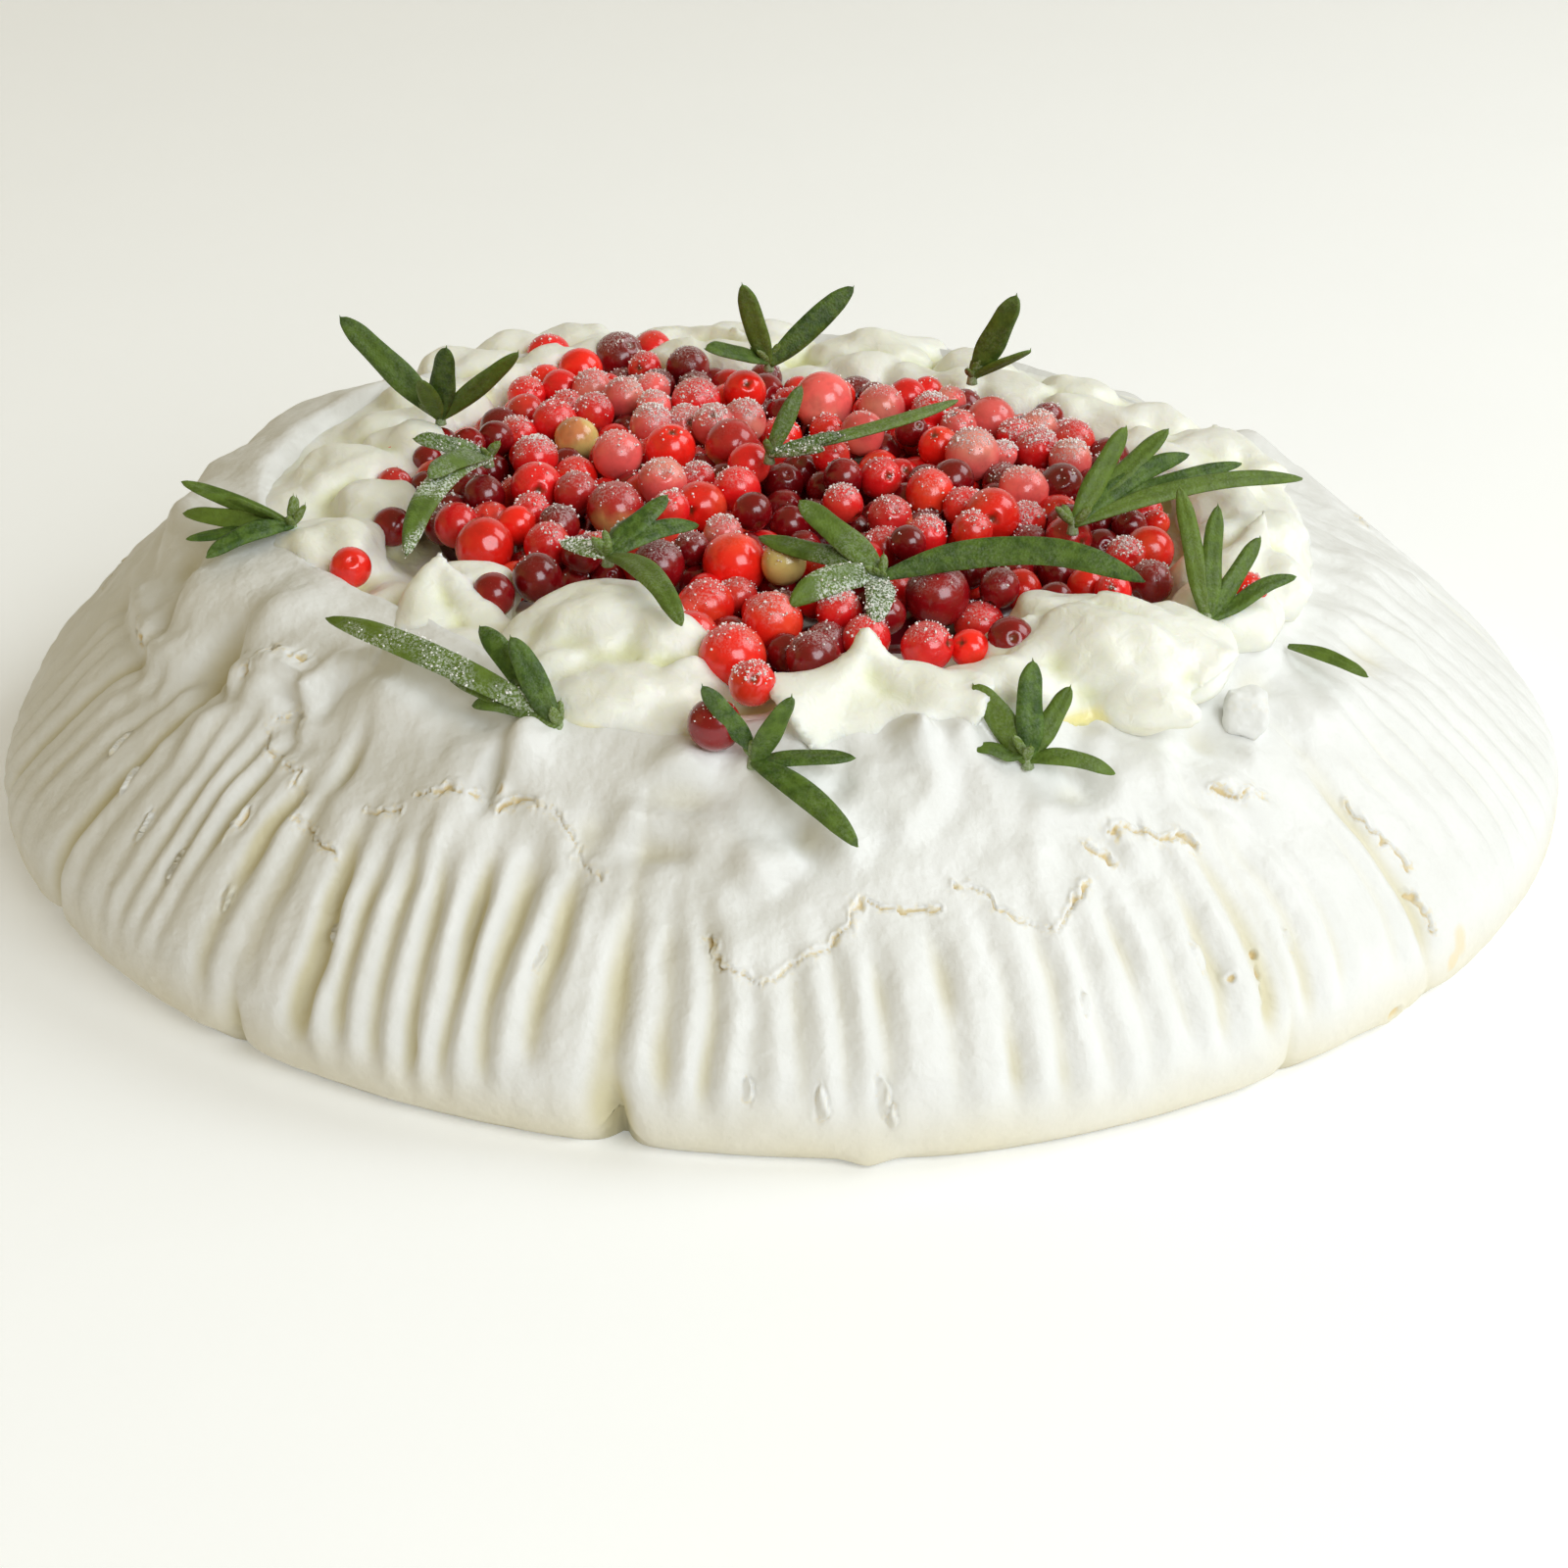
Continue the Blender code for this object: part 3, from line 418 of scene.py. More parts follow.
CRACKS = (((-78.0, -56.5, 43.3), (-74.0, -57.6, 45.0), (-69.8, -59.9, 46.4)),
          ((-72.4, -66.0, 41.5), (-69.8, -66.2, 43.0), (-68.2, -69.6, 42.0)),
          ((-73.6, -67.6, 39.7), (-72.5, -71.6, 38.1), (-68.7, -75.4, 37.8), (-68.3, -80.7, 33.4), (-65.1, -85.6, 31.6), (-61.5, -89.3, 31.0)),
          ((-58.1, -86.0, 35.9), (-52.2, -88.3, 36.9)),
          ((-49.9, -87.1, 38.5), (-47.9, -88.4, 38.7), (-41.1, -88.8, 40.5)),
          ((-39.2, -91.6, 39.2), (-35.5, -92.2, 40.1), (-30.5, -94.3, 39.4), (-27.4, -97.9, 37.4), (-27.1, -99.8, 35.8), (-25.2, -101.5, 33.5), (-24.1, -101.8, 33.0)),
          ((-78.8, -78.8, 27.4), (-75.4, -77.3, 31.8)),
          ((-8.6, -110.3, 28.0), (-6.6, -113.3, 25.1), (-2.7, -115.0, 23.5), (0.6, -114.8, 25.0), (5.9, -112.0, 28.1), (8.6, -109.4, 29.0), (10.8, -107.3, 32.4), (21.2, -107.6, 30.0)),
          ((23.5, -104.7, 33.0), (27.9, -104.3, 31.6), (31.9, -106.8, 29.1), (37.2, -106.6, 27.3), (39.4, -104.1, 29.0), (41.6, -100.2, 31.1)),
          ((42.5, -95.0, 34.5), (45.2, -95.9, 32.8)),
          ((45.0, -92.5, 36.3), (49.6, -91.6, 34.4), (55.3, -89.3, 33.0), (57.4, -89.4, 31.9)),
          ((61.5, -80.4, 36.4), (68.2, -78.0, 34.1)),
          ((81.4, -69.9, 29.6), (86.4, -71.9, 25.0), (90.8, -72.7, 20.7)),
          ((90.6, -75.8, 17.2), (94.6, -75.3, 12.5)),
          ((-98.9, -27.7, 39.9), (-97.6, -31.4, 39.0), (-96.6, -35.5, 39.1)))
# spots where the crust is torn or stained: place, half width, how deep
HOLES = ((66.0, -98.0, 19.4, 0.9, 0.9), (67.2, -101.0, 15.4, 0.8, 0.8), (66.8, -99.6, 17.4, 0.8, 0.8), (62.1, -102.7, 18.0, 0.7, 0.5),
         (-84.3, -53.1, 41.0, 1.1, 0.4), (-38.7, -89.7, 41.0, 0.7, 0.4), (-97.6, -31.2, 39.4, 0.8, 0.5),
         (88.2, -84.3, 3.0, 1.4, 0.5))
# thin flakes that stand off the crust: place, half width along and up
FLAKES = ((5.9, -123.6, 10.5, 1.1, 2.6), (13.7, -123.3, 11.1, 0.9, 3.0), (14.9, -123.4, 8.6, 0.8, 1.6), (-4.0, -123.0, 12.0, 0.8, 1.6),
          (-96.0, -58.0, 28.0, 0.8, 2.2), (-92.5, -66.5, 24.0, 0.7, 2.0), (-86.0, -76.0, 22.0, 0.8, 2.6), (-99.0, -49.0, 30.0, 0.7, 1.8),
          (-78.0, -84.0, 21.0, 0.7, 1.6), (57.0, -103.0, 21.0, 0.7, 2.0), (71.0, -94.0, 19.5, 0.7, 2.0), (40.0, -112.0, 19.0, 0.6, 1.4),
          (-60.0, -97.0, 22.0, 0.6, 1.6), (-33.0, -108.0, 24.0, 0.6, 1.6), (60.0, 98.0, 22.0, 0.9, 2.4), (-20.0, 112.0, 24.0, 0.8, 2.2),
          (104.0, 40.0, 22.0, 0.8, 2.2), (-84.0, 78.0, 24.0, 0.9, 2.4))
WET = ((99.5, -71.5, 8.2, 3.2), (98.0, -73.0, 6.0, 2.4))


def round_table(rows, angle):
    keys = np.array([row[0] for row in rows], float)
    values = np.array([row[1] for row in rows], float)
    flat = np.interp(np.arange(-180.0, 180.0, 1.0), keys, values)
    kernel = np.hanning(11)
    kernel /= kernel.sum()
    soft = np.convolve(np.concatenate([flat[-5:], flat, flat[:5]]), kernel, "valid")
    wrapped = (np.asarray(angle, float) + 180.0) % 360.0
    return np.interp(wrapped, np.arange(361.0), np.append(soft, soft[0]))


def curve_through(x, xs, ys):
    """Smooth curve through the table, with no corner at its rows."""
    xs, ys = np.array(xs, float), np.array(ys, float)
    slopes = np.gradient(ys, xs)
    x = np.clip(np.asarray(x, float), xs[0], xs[-1])
    i = np.clip(np.searchsorted(xs, x) - 1, 0, len(xs) - 2)
    h = xs[i + 1] - xs[i]
    t = (x - xs[i]) / h
    return ((2 * t**3 - 3 * t**2 + 1) * ys[i] + (t**3 - 2 * t**2 + t) * h * slopes[i]
            + (-2 * t**3 + 3 * t**2) * ys[i + 1] + (t**3 - t**2) * h * slopes[i + 1])


def side_weights(angle):
    c, s = np.cos(np.radians(angle)), np.sin(np.radians(angle))
    return [w * w for w in (np.maximum(-c, 0), np.maximum(c, 0), np.maximum(-s, 0), np.maximum(s, 0))]


def wall_radius(angle, z):
    angle = np.asarray(angle, float)
    total, foot = 0.0, 0.0
    for weight, side in zip(side_weights(angle), (WALL_LEFT, WALL_RIGHT, WALL_FRONT, WALL_BACK)):
        total = total + weight * curve_through(z, WALL_Z, side)
        foot = foot + weight * side[0]
    return total + (round_table(FOOT, angle) - foot) * (1 - 0.7 * smooth(8, 40, z))


def lean_at(angle):
    return round_table([(s[0], s[3]) for s in STROKES], angle)


def all_grooves():
    rng = np.random.default_rng(4)
    rows = [tuple(map(float, row)) for row in GROOVES]
    for here, after in zip(STROKES, STROKES[1:]):
        if here[0] < 0:
            continue
        step = (after[0] - here[0]) / here[1]
        for flute in range(here[1]):
            at = here[0] + flute * step + rng.uniform(-0.25, 0.25) * step
            rows.append((at, here[2] * rng.uniform(0.8, 1.6), rng.uniform(0.75, 1.15), rng.uniform(6, 12), rng.uniform(32, 44)))
    return rows


def flute_field(psi, z):
    """Depth of the flutes below the wall for column angles psi at the levels z."""
    noise = Noise(21)
    total = np.zeros(len(psi))
    for k, (at, depth, half, low, high) in enumerate(all_grooves()):
        away = (psi - at + 180) % 360 - 180
        near = np.abs(away) < 6
        if not near.any():
            continue
        a, h = away[near], z[near]
        along = np.stack([np.full(len(h), 17.0 * k), h, np.zeros(len(h))], 1)
        a = a + 0.55 * noise(along, 13.0) + 0.16 * noise(along, 4.0)
        window = smooth(low - 4, low + 5, h) * (1 - smooth(high - 9, high + 3, h))
        strength = depth * window * (1 + 0.35 * noise(along + 91.0, 9.0))
        shape = np.exp(-(np.abs(a) / half) ** 1.7) - 0.35 * np.exp(-((a - 1.45) / 0.75) ** 2) - 0.22 * np.exp(-((a + 1.45) / 0.75) ** 2)
        total[near] += strength * shape
    return total


def nick_field(psi, z):
    total = np.zeros(len(psi))
    for at, foot, middle in NICKS:
        away = (psi - at + 180) % 360 - 180
        strength = (middle + (foot - middle) * (1 - smooth(0, 16, z))) * (1 - smooth(34, 50, z))
        total += strength * np.exp(-(np.abs(away) / (0.85 + 0.5 * smooth(0, 20, z))) ** 1.2)
    return total


def meringue_skin(mat):
    # columns: fine at the front, coarser behind
    front = np.arange(-187.0, 7.0, 0.335)
    back = np.linspace(7.0, 173.0, 276)[:-1]
    psi = np.concatenate([front, back])
    levels = np.concatenate([[0.0, 0.5, 1.1, 1.9, 2.8], np.arange(3.7, 43.1, 0.80)])
    rows, psis, zs = [], [], []
    lean = lean_at(psi)
    for z in levels:
        theta = psi + lean * (z - 20) / 10
        r = wall_radius(theta, z) - 2.6 * (1 - smooth(-0.6, 3.2, z)) ** 1.3
        rows.append((theta, r, np.full(len(psi), z)))
    theta = psi + lean * 2.3
    top = wall_radius(theta, levels[-1])
    edge = round_table(CREAM_EDGE, theta)
    ladder = np.linspace(levels[-1], 54, 13)
    radii = np.stack([wall_radius(theta, z) for z in ladder])
    for share in np.linspace(0, 1, 17)[1:]:
        r = top + (edge - 3.0 - top) * share
        z = np.array([np.interp(-r[i], -radii[:, i], ladder) for i in range(len(psi))])
        rows.append((theta, r, z))
    rim = rows[-1][2]
    for share, sink in ((0.90, 0.45), (0.80, 0.95), (0.45, 1.0)):
        rows.append((theta, edge * share, np.minimum(rim - 1.0, rim + (HOLLOW - rim) * sink)))
    n, m = len(psi), len(rows)
    grid = np.empty((m, n, 3))
    for j, (t, r, z) in enumerate(rows):
        a = np.radians(t)
        grid[j] = np.stack([r * np.cos(a), r * np.sin(a), z], 1)
    # direction out of the smooth wall
    along = np.roll(grid, -1, 1) - np.roll(grid, 1, 1)
    up = np.empty_like(grid)
    up[1:-1] = grid[2:] - grid[:-2]
    up[0], up[-1] = grid[1] - grid[0], grid[-1] - grid[-2]
    out = np.cross(along, up)
    out /= np.linalg.norm(out, axis=2, keepdims=True) + 1e-9
    points, out = grid.reshape(-1, 3) + SHIFT, out.reshape(-1, 3)
    psi_all = np.tile(psi, m)
    z_all = points[:, 2].copy()
    ring = np.repeat(np.arange(m), n)
    wall = np.clip((m - 3 - ring) / 6.0, 0, 1)
    # the strokes waver, swell and fade, so that no two are alike
    waver = 1.3 * Noise(61)(points, 26.0) + 0.2 * Noise(62)(points, 9.0)
    swell = 0.52 + 0.62 * smooth(-0.55, 0.65, Noise(63)(points * (1, 1, 0.55), 12.0)) * (1.0 + 0.25 * Noise(64)(points, 5.0))
    side = 1.0 - 0.42 * np.maximum(smooth(-128, -150, psi_all), smooth(95, 130, psi_all)) - 0.38 * smooth(-48, -28, psi_all) * smooth(50, 20, psi_all)
    flutes = flute_field(psi_all + waver, z_all) * swell * side
    nicks = nick_field(psi_all, z_all)
    noise = Noise(7)
    upper = smooth(26, 42, z_all)
    move = -(flutes + nicks)
    move += (0.30 + 0.9 * upper) * fractal(noise, points, 24, 2) * smooth(1, 10, z_all)
    move += (0.14 + 0.52 * upper) * fractal(Noise(8), points, 8.5, 2)
    move += 0.10 * fractal(Noise(9), points, 2.6, 2)
    # the left side is drawn in a little above the foot
    around = (psi_all % 360 - 188) / 17
    move -= 2.0 * np.exp(-(around**2)) * np.exp(-(((z_all - 20) / 13) ** 2))
    # painted shade mask: depth in the flutes and nicks, later tinted as the shade in the grooves
    deep = np.maximum(flutes, 0) * 0.55 + np.maximum(nicks, 0) * 0.35
    for x, y, z, height, wide, tall in LUMPS:
        d = points - (x, y, z)
        tangent = np.array([-y, x, 0.0]) / math.hypot(x, y)
        radial = np.array([x, y, 0.0]) / math.hypot(x, y)
        q = (d @ tangent / wide) ** 2 + (d[:, 2] / tall) ** 2 + ((d @ radial) / (tall * 1.6)) ** 2
        bump = np.exp(-q ** (0.9 if height > 0 else 1.2))
        move += 1.45 * height * bump
        # dents take painted shade as well
        if height < 0:
            deep += 0.5 * bump
    for height, half, line in FOLDS + more_folds():
        d, side = near_line(points, line)
        move += 1.25 * height * (np.exp(-((d / half) ** 2)) - 0.45 * np.exp(-(((d - 2.0 * half) / (0.9 * half)) ** 2)) * (side < 0))
    move = np.where(ring > m - 4, 0, move)
    shift = out * move[:, None]
    shift[z_all < 0.05, 2] = 0
    points = points + shift
    points[:, 2] = np.maximum(points[:, 2], 0.0)
    points[:n, 2] = 0.0
    faces = []
    idx = np.arange(n)
    nxt = np.roll(idx, -1)
    for j in range(m - 1):
        faces.append(np.stack([j * n + idx, j * n + nxt, (j + 1) * n + nxt, (j + 1) * n + idx], 1))
    faces = np.concatenate(faces).tolist()
    centre_top, centre_low = len(points), len(points) + 1
    # flat underside: one inner ring and a fan
    inner = points[:n] * (0.6, 0.6, 1.0)
    points = np.concatenate([points, [[0, 0, HOLLOW], [0, 0, 0]], inner])
    start = centre_low + 1
    faces += [[(m - 1) * n + i, (m - 1) * n + (i + 1) % n, centre_top] for i in range(n)]
    faces += [[(i + 1) % n, i, start + i, start + (i + 1) % n] for i in range(n)]
    faces += [[start + (i + 1) % n, start + i, centre_low] for i in range(n)]
    # painted shade of the grooves, nicks and dents, kept as a point attribute for the crust's colour
    hollow_shade = np.concatenate([np.clip(deep, 0, 1.5), [0, 0], np.zeros(n)])
    obj = make("meringue_skin", fit(points), faces, mat, {"hollow_shade": hollow_shade})
    refine_cracks(obj)
    return obj


def more_folds():
    """Soft strokes that the spatula left on the shoulder, all the way round."""
    rng = np.random.default_rng(57)
    folds = []
    for k in range(46):
        at = -180 + 360 * (k + rng.uniform(-0.4, 0.4)) / 46
        z = rng.uniform(34, 46)
        reach, way = rng.uniform(8, 17), rng.uniform(-1.0, 1.0)
        line = []
        for t in np.linspace(0, 1, 6):
            angle = at + way * 7.0 * t + 2.2 * math.sin(3 * t + k)
            level = z + (t - 0.5) * reach * (1 - 0.6 * abs(way)) * 0.8
            level = min(level, 51.0)
            r = float(wall_radius(np.array([angle]), level)[0])
            line.append((r * math.cos(math.radians(angle)) + SHIFT[0], r * math.sin(math.radians(angle)) + SHIFT[1], level))
        folds.append((rng.uniform(-0.9, 0.9), rng.uniform(1.5, 2.8), tuple(line)))
    return tuple(folds)


def back_cracks():
    """Cracks of the same kind on the sides that face away."""
    rng = np.random.default_rng(31)
    lines = []
    for at in (12, 38, 63, 78, 104, 127, 151, 168):
        z = rng.uniform(27, 39)
        line = []
        angle = at
        for _ in range(rng.integers(3, 7)):
            r = float(wall_radius(np.array([angle]), z)[0])
            line.append((r * math.cos(math.radians(angle)), r * math.sin(math.radians(angle)), z))
            angle += rng.uniform(1.2, 2.6)
            z += rng.uniform(-3.6, 3.6)
        lines.append(tuple(line))
    return lines


def refine_cracks(obj):
    """Finer faces along the cracks, then the cracks themselves: a torn line with one lifted lip."""
    mesh = obj.data
    points = points_of(mesh)
    tree = BVHTree.FromPolygons(points.tolist(), [p.vertices[:] for p in mesh.polygons])

    def on_surface(line):
        """The line with a point every 0.8 mm, each on the crust."""
        line = np.array(line)
        dense = [line[0]]
        for a, b in zip(line, line[1:]):
            steps = max(1, int(np.linalg.norm(b - a) / 0.8))
            dense += [a + (b - a) * (i + 1) / steps for i in range(steps)]
        return np.array([tree.find_nearest(Vector(p))[0][:] for p in dense])

    lines = [on_surface(fit(line)) for line in CRACKS] + [on_surface(fit(np.array(line) + SHIFT)) for line in back_cracks()]
    holes = [(on_surface([fit(row[:3])])[0], row[3], row[4]) for row in HOLES]
    wet = [(on_surface([fit(row[:3])])[0], row[3]) for row in WET]
    flakes = [(on_surface([fit(row[:3])])[0], row[3], row[4]) for row in FLAKES]

    def measure(p, normals):
        """Distance to the nearest crack, as a jagged line that keeps to the crust."""
        a, b = Noise(41), Noise(42)
        shift = 1.1 * np.stack([a(p + 7 * k, 4.2) for k in range(3)], 1) + 0.8 * np.stack([b(p + 9 * k, 1.3) for k in range(3)], 1)
        bent = p + shift - (shift * normals).sum(1)[:, None] * normals
        best, side = np.full(len(p), 1e9), np.zeros(len(p))
        for line in lines:
            low, high = line.min(0) - 4, line.max(0) + 4
            near = ((bent > low) & (bent < high)).all(1)
            if near.any():
                d, s = near_line(bent[near], line)
                closer = d < best[near]
                where = np.flatnonzero(near)[closer]
                best[where], side[where] = d[closer], s[closer]
        return best, side

    d, _ = measure(points, normals_of(mesh))
    close = d < 1.15
    for spot, half, *_ in holes + flakes:
        close |= np.linalg.norm(points - spot, axis=1) < half * 1.6 + 0.6
    bm = bmesh.new()
    bm.from_mesh(mesh)
    bm.verts.ensure_lookup_table()
    edges = set()
    for face in bm.faces:
        if len(face.verts) == 4 and any(close[v.index] for v in face.verts):
            edges.update(face.edges)
    bmesh.ops.subdivide_edges(bm, edges=list(edges), cuts=2, use_grid_fill=True)
    bm.to_mesh(mesh)
    bm.free()
    mesh.update()
    points, normals = points_of(mesh), normals_of(mesh)
    d, side = measure(points, normals)
    run = 0.5 + 0.5 * np.clip(1.4 * Noise(43)(points, 6.0) + 0.5, -1, 1)
    width = 0.15 + 0.15 * run
    crack = np.exp(-((d / width) ** 2)) * (0.4 + 0.6 * run)
    crack = np.where(d < 3, crack, 0)
    lip = np.exp(-(((d - 0.62) / 0.35) ** 2)) * (0.3 + 0.7 * run)
    move = -0.85 * crack + 0.42 * lip * np.where(side > 0, 1.0, 0.25)
    frayed = np.exp(-((d / 0.9) ** 2)) * (0.4 + 0.6 * run)
    ragged = points + 0.5 * np.stack([Noise(44)(points + 5 * k, 1.6) for k in range(3)], 1)
    for spot, half, deep in holes:
        away = np.linalg.norm(ragged - spot, axis=1)
        hole = 1 - smooth(half * 0.5, half * 1.2, away)
        move -= deep * hole
        move += 0.25 * np.exp(-(((away - half * 1.4) / 0.5) ** 2))
        crack = np.maximum(crack, 0.75 * hole * (deep > 0.45))
        frayed = np.maximum(frayed, hole)
    for spot, half, tall in flakes:
        delta = ragged - spot
        tangent = np.array([-spot[1], spot[0], 0.0]) / math.hypot(spot[0], spot[1])
        x, y = delta @ tangent / half, delta[:, 2] / tall
        q = np.sqrt(x * x + y * y)
        sheet = np.where((q < 1.25) & (np.linalg.norm(delta, axis=1) < tall * 1.5 + half), 1.0, 0.0)
        move += sheet * (0.75 * (1 - smooth(0.75, 1.1, q)) * smooth(-1.0, 0.9, x + 0.3 * y) - 0.25 * np.exp(-(((q - 1.05) / 0.16) ** 2)))
        frayed = np.maximum(frayed, 0.5 * sheet * np.exp(-(((q - 0.95) / 0.2) ** 2)))
    points = points + normals * move[:, None]
    points[:, 2] = np.maximum(points[:, 2], 0)
    move_points(mesh, points)
    stain = np.zeros(len(points))
    for spot, half, deep in holes[4:7]:
        stain = np.maximum(stain, np.exp(-((np.linalg.norm(points - spot, axis=1) / (half * 1.1)) ** 2)))
    for spot, half in wet:
        away = np.linalg.norm(points - spot, axis=1) + 1.2 * Noise(45)(points, 3.0)
        stain = np.maximum(stain, 0.42 * (1 - smooth(half * 0.5, half * 1.15, away)))
    set_attribute(mesh, "crack", crack)
    set_attribute(mesh, "frayed", frayed)
    set_attribute(mesh, "stain", stain)


def crumb(name, at, size, mat, seed):
    """A broken lump of crust."""
    bm = bmesh.new()
    bmesh.ops.create_icosphere(bm, subdivisions=5, radius=1.0)
    unit = np.array([v.co[:] for v in bm.verts])
    faces = [[v.index for v in f.verts] for f in bm.faces]
    bm.free()
    blocky = np.sign(unit) * np.abs(unit) ** 0.62
    points = blocky * np.array(size) / 2
    noise = Noise(seed)
    points += unit * (0.55 * noise(points + 50, 2.6) + 0.22 * noise(points + 20, 0.9))[:, None] * min(size) / 6
    zeros = np.zeros(len(points))
    return make(name, points + np.array(at), faces, mat, {"hollow_shade": zeros, "crack": zeros, "frayed": np.clip(noise(points, 3) * 0.4, 0, 1), "stain": zeros})


# ---------------------------------------------------------------- cream

# soft lobes: place, radii, turn about the vertical
LOBES = ((-26, -64, 52.0, 13.5, 10.5, 7.6, 10), (-18, -68, 51.0, 9, 7, 7.0, -20), (-22.5, -79, 48.0, 13.5, 8.0, 6.4, -8), (-31, -74, 49.0, 9, 6, 6.2, 20),
         (-12.5, -76, 48.2, 6.5, 5.5, 6.0, 30), (-36, -66, 49.0, 8, 6.5, 6.0, 40),
         (10, -80, 48.5, 10, 7, 6.0, 10), (20, -81, 48.0, 12, 7.0, 5.0, 5), (31, -77, 49.0, 11, 7.5, 5.0, 0), (5, -84.5, 46.5, 6, 4, 3.6, 20),
         (46, -69, 50.5, 13.5, 10.0, 7.6, -25), (56, -64, 50.0, 10, 9, 7.2, -40), (42, -60, 51.5, 10, 7, 6.0, -20), (50, -76, 47.5, 9, 5.0, 4.6, -30),
         (36, -66, 50.5, 8, 6, 5.6, 20), (66, -50, 50.0, 8, 9, 6.0, -50),
         (-51, -56, 48.0, 8, 6, 5.4, -40), (-58, -48, 46.5, 8, 6, 5.0, -50), (-69, -28, 50.5, 9, 10, 6.2, 0), (-64, -12, 51.0, 8, 9, 6.2, 15),
         (-69, 2, 51.0, 9, 9, 6.4, 0), (-60, 12, 52.0, 8, 8, 6.2, 0), (-66, 24, 50.5, 9, 8, 6.0, 30), (-60, 40, 50.0, 9, 8, 6.4, 40),
         (-53, 60, 48.5, 10, 8, 6.2, 30), (-36, 74, 47.5, 10, 6, 5.6, 20), (-18, 76, 48.0, 9, 6, 6.0, 0), (-47, -44, 50.0, 8, 7, 5.6, 0), (-2, 70, 50.0, 9, 7, 6.2, 0), (16, 65, 50.5, 11, 8, 6.6, -10),
         (34, 58, 49.5, 9, 8, 5.8, -30), (50, 46, 49.0, 9, 8, 5.8, -40), (62, 32, 49.0, 8, 9, 5.6, -60), (69, 16, 49.5, 8, 9, 6.0, -80),
         (70, -2, 49.0, 8, 10, 5.8, 0), (73, -20, 49.5, 8, 9, 6.0, 0), (72, -36, 49.0, 8, 8, 5.6, 30))
# swept ridges that end in a drawn-out tip: width at the foot, then the line from foot to tip
PEAKS = ((8.5, ((2, -84, 47.5), (7, -82.5, 51), (10.5, -80.5, 55), (12.3, -79.3, 59.8))), (7.5, ((27, -82, 47.5), (20, -81.5, 51), (15, -80.5, 54.5), (12.3, -79.3, 59.2))),
         (7.0, ((12, -74, 48), (12, -77, 52), (12.2, -79, 56), (12.6, -80, 59.0))), (6.5, ((-52, -57, 48), (-52.5, -52, 52), (-51.5, -48.5, 55.5), (-49.6, -46.4, 58.9))),
         (5.5, ((-43, -56, 48), (-46, -52, 52), (-48.5, -49, 55.5), (-49.8, -47, 58.2))), (6.0, ((-32, -70, 50), (-30, -66, 55), (-27, -63.5, 58), (-23.5, -62.5, 60.2))),
         (6.0, ((-14, -66, 50), (-18, -64, 55), (-22, -62.5, 58.5), (-25, -62, 59.6))), (4.0, ((-8, -73.5, 50), (-9.5, -72, 53), (-11.5, -70.2, 55.2), (-13, -69.5, 56.3))),
         (7.0, ((60, -70, 48), (56, -68, 53), (51, -65, 57), (46.5, -63.0, 58.8))), (6.0, ((36, -72, 49), (39, -68, 53), (42, -65, 56), (46, -62.5, 58.4))),
         (5.5, ((-75, -8, 49), (-71, -4, 53), (-67, -1, 56), (-64, 2, 57.6))), (5.5, ((68, -38, 50), (71, -33, 53), (73, -28, 55.5), (74.5, -24, 57.2))),
         (5.5, ((78, 10, 48), (76, 14, 51), (74, 18, 53.5), (71, 21, 55.2))), (5.5, ((26, 72, 48), (22, 68, 52), (18, 65, 55), (14, 63, 57.2))),
         (5.5, ((-22, 78, 47), (-16, 77, 51), (-11, 74, 54), (-7, 70, 56.2))), (5.5, ((-60, 50, 48), (-56, 47, 51), (-52, 45, 54), (-47, 44, 56.0))))
MELT = (((-29.4, -82.9, 48.4), (-23.8, -86.6, 46.3), (-18.3, -89.4, 45.4), (-12.9, -89.4, 46.1)),
        ((14.2, -89.3, 46.3), (22.3, -87.0, 46.5), (29.3, -84.4, 46.5), (36.3, -81.9, 46.0), (43.4, -78.2, 46.4), (52, -74, 46.5)))


def inner_lobes():
    """Low lobes between the heap and the raised edge, on the sides away from the front."""
    rng = np.random.default_rng(83)
    at, edge = np.array(HEAP_EDGE, float).T
    lobes = []
    for k, angle in enumerate(np.arange(-28, 158, 9.5)):
        angle += rng.uniform(-2, 2)
        r = float(np.interp((angle + 180) % 360 - 180, at, edge, period=360)) + rng.uniform(5.0, 8.5)
        a = math.radians(angle)
        wide = rng.uniform(6.5, 9.0)
        lobes.append((r * math.cos(a), r * math.sin(a) - 1.6, rng.uniform(49.0, 51.0), wide, wide * rng.uniform(0.7, 0.95), rng.uniform(4.8, 6.0), angle + 90 + rng.uniform(-30, 30)))
        if 95 < angle < 150:
            r += rng.uniform(11, 15)
            lobes.append((r * math.cos(a), r * math.sin(a) - 1.6, rng.uniform(48.0, 50.0), wide, wide * 0.8, rng.uniform(5.0, 6.0), angle + 90 + rng.uniform(-30, 30)))
    return tuple(lobes)


def lump_mesh(bm, centre, radii, turn, seed):
    made = bmesh.ops.create_icosphere(bm, subdivisions=4, radius=1.0)["verts"]
    unit = np.array([v.co[:] for v in made])
    noise = Noise(seed)
    grown = unit * (1 + 0.16 * noise(unit * 3 + seed, 1.6) + 0.06 * noise(unit * 3 + seed, 0.7))[:, None] * np.array(radii)
    a = math.radians(turn)
    c, s = math.cos(a), math.sin(a)
    x = grown[:, 0] * c - grown[:, 1] * s
    y = grown[:, 0] * s + grown[:, 1] * c
    for v, px, py, pz in zip(made, x + centre[0], y + centre[1], grown[:, 2] + centre[2]):
        v.co = (px, py, pz)


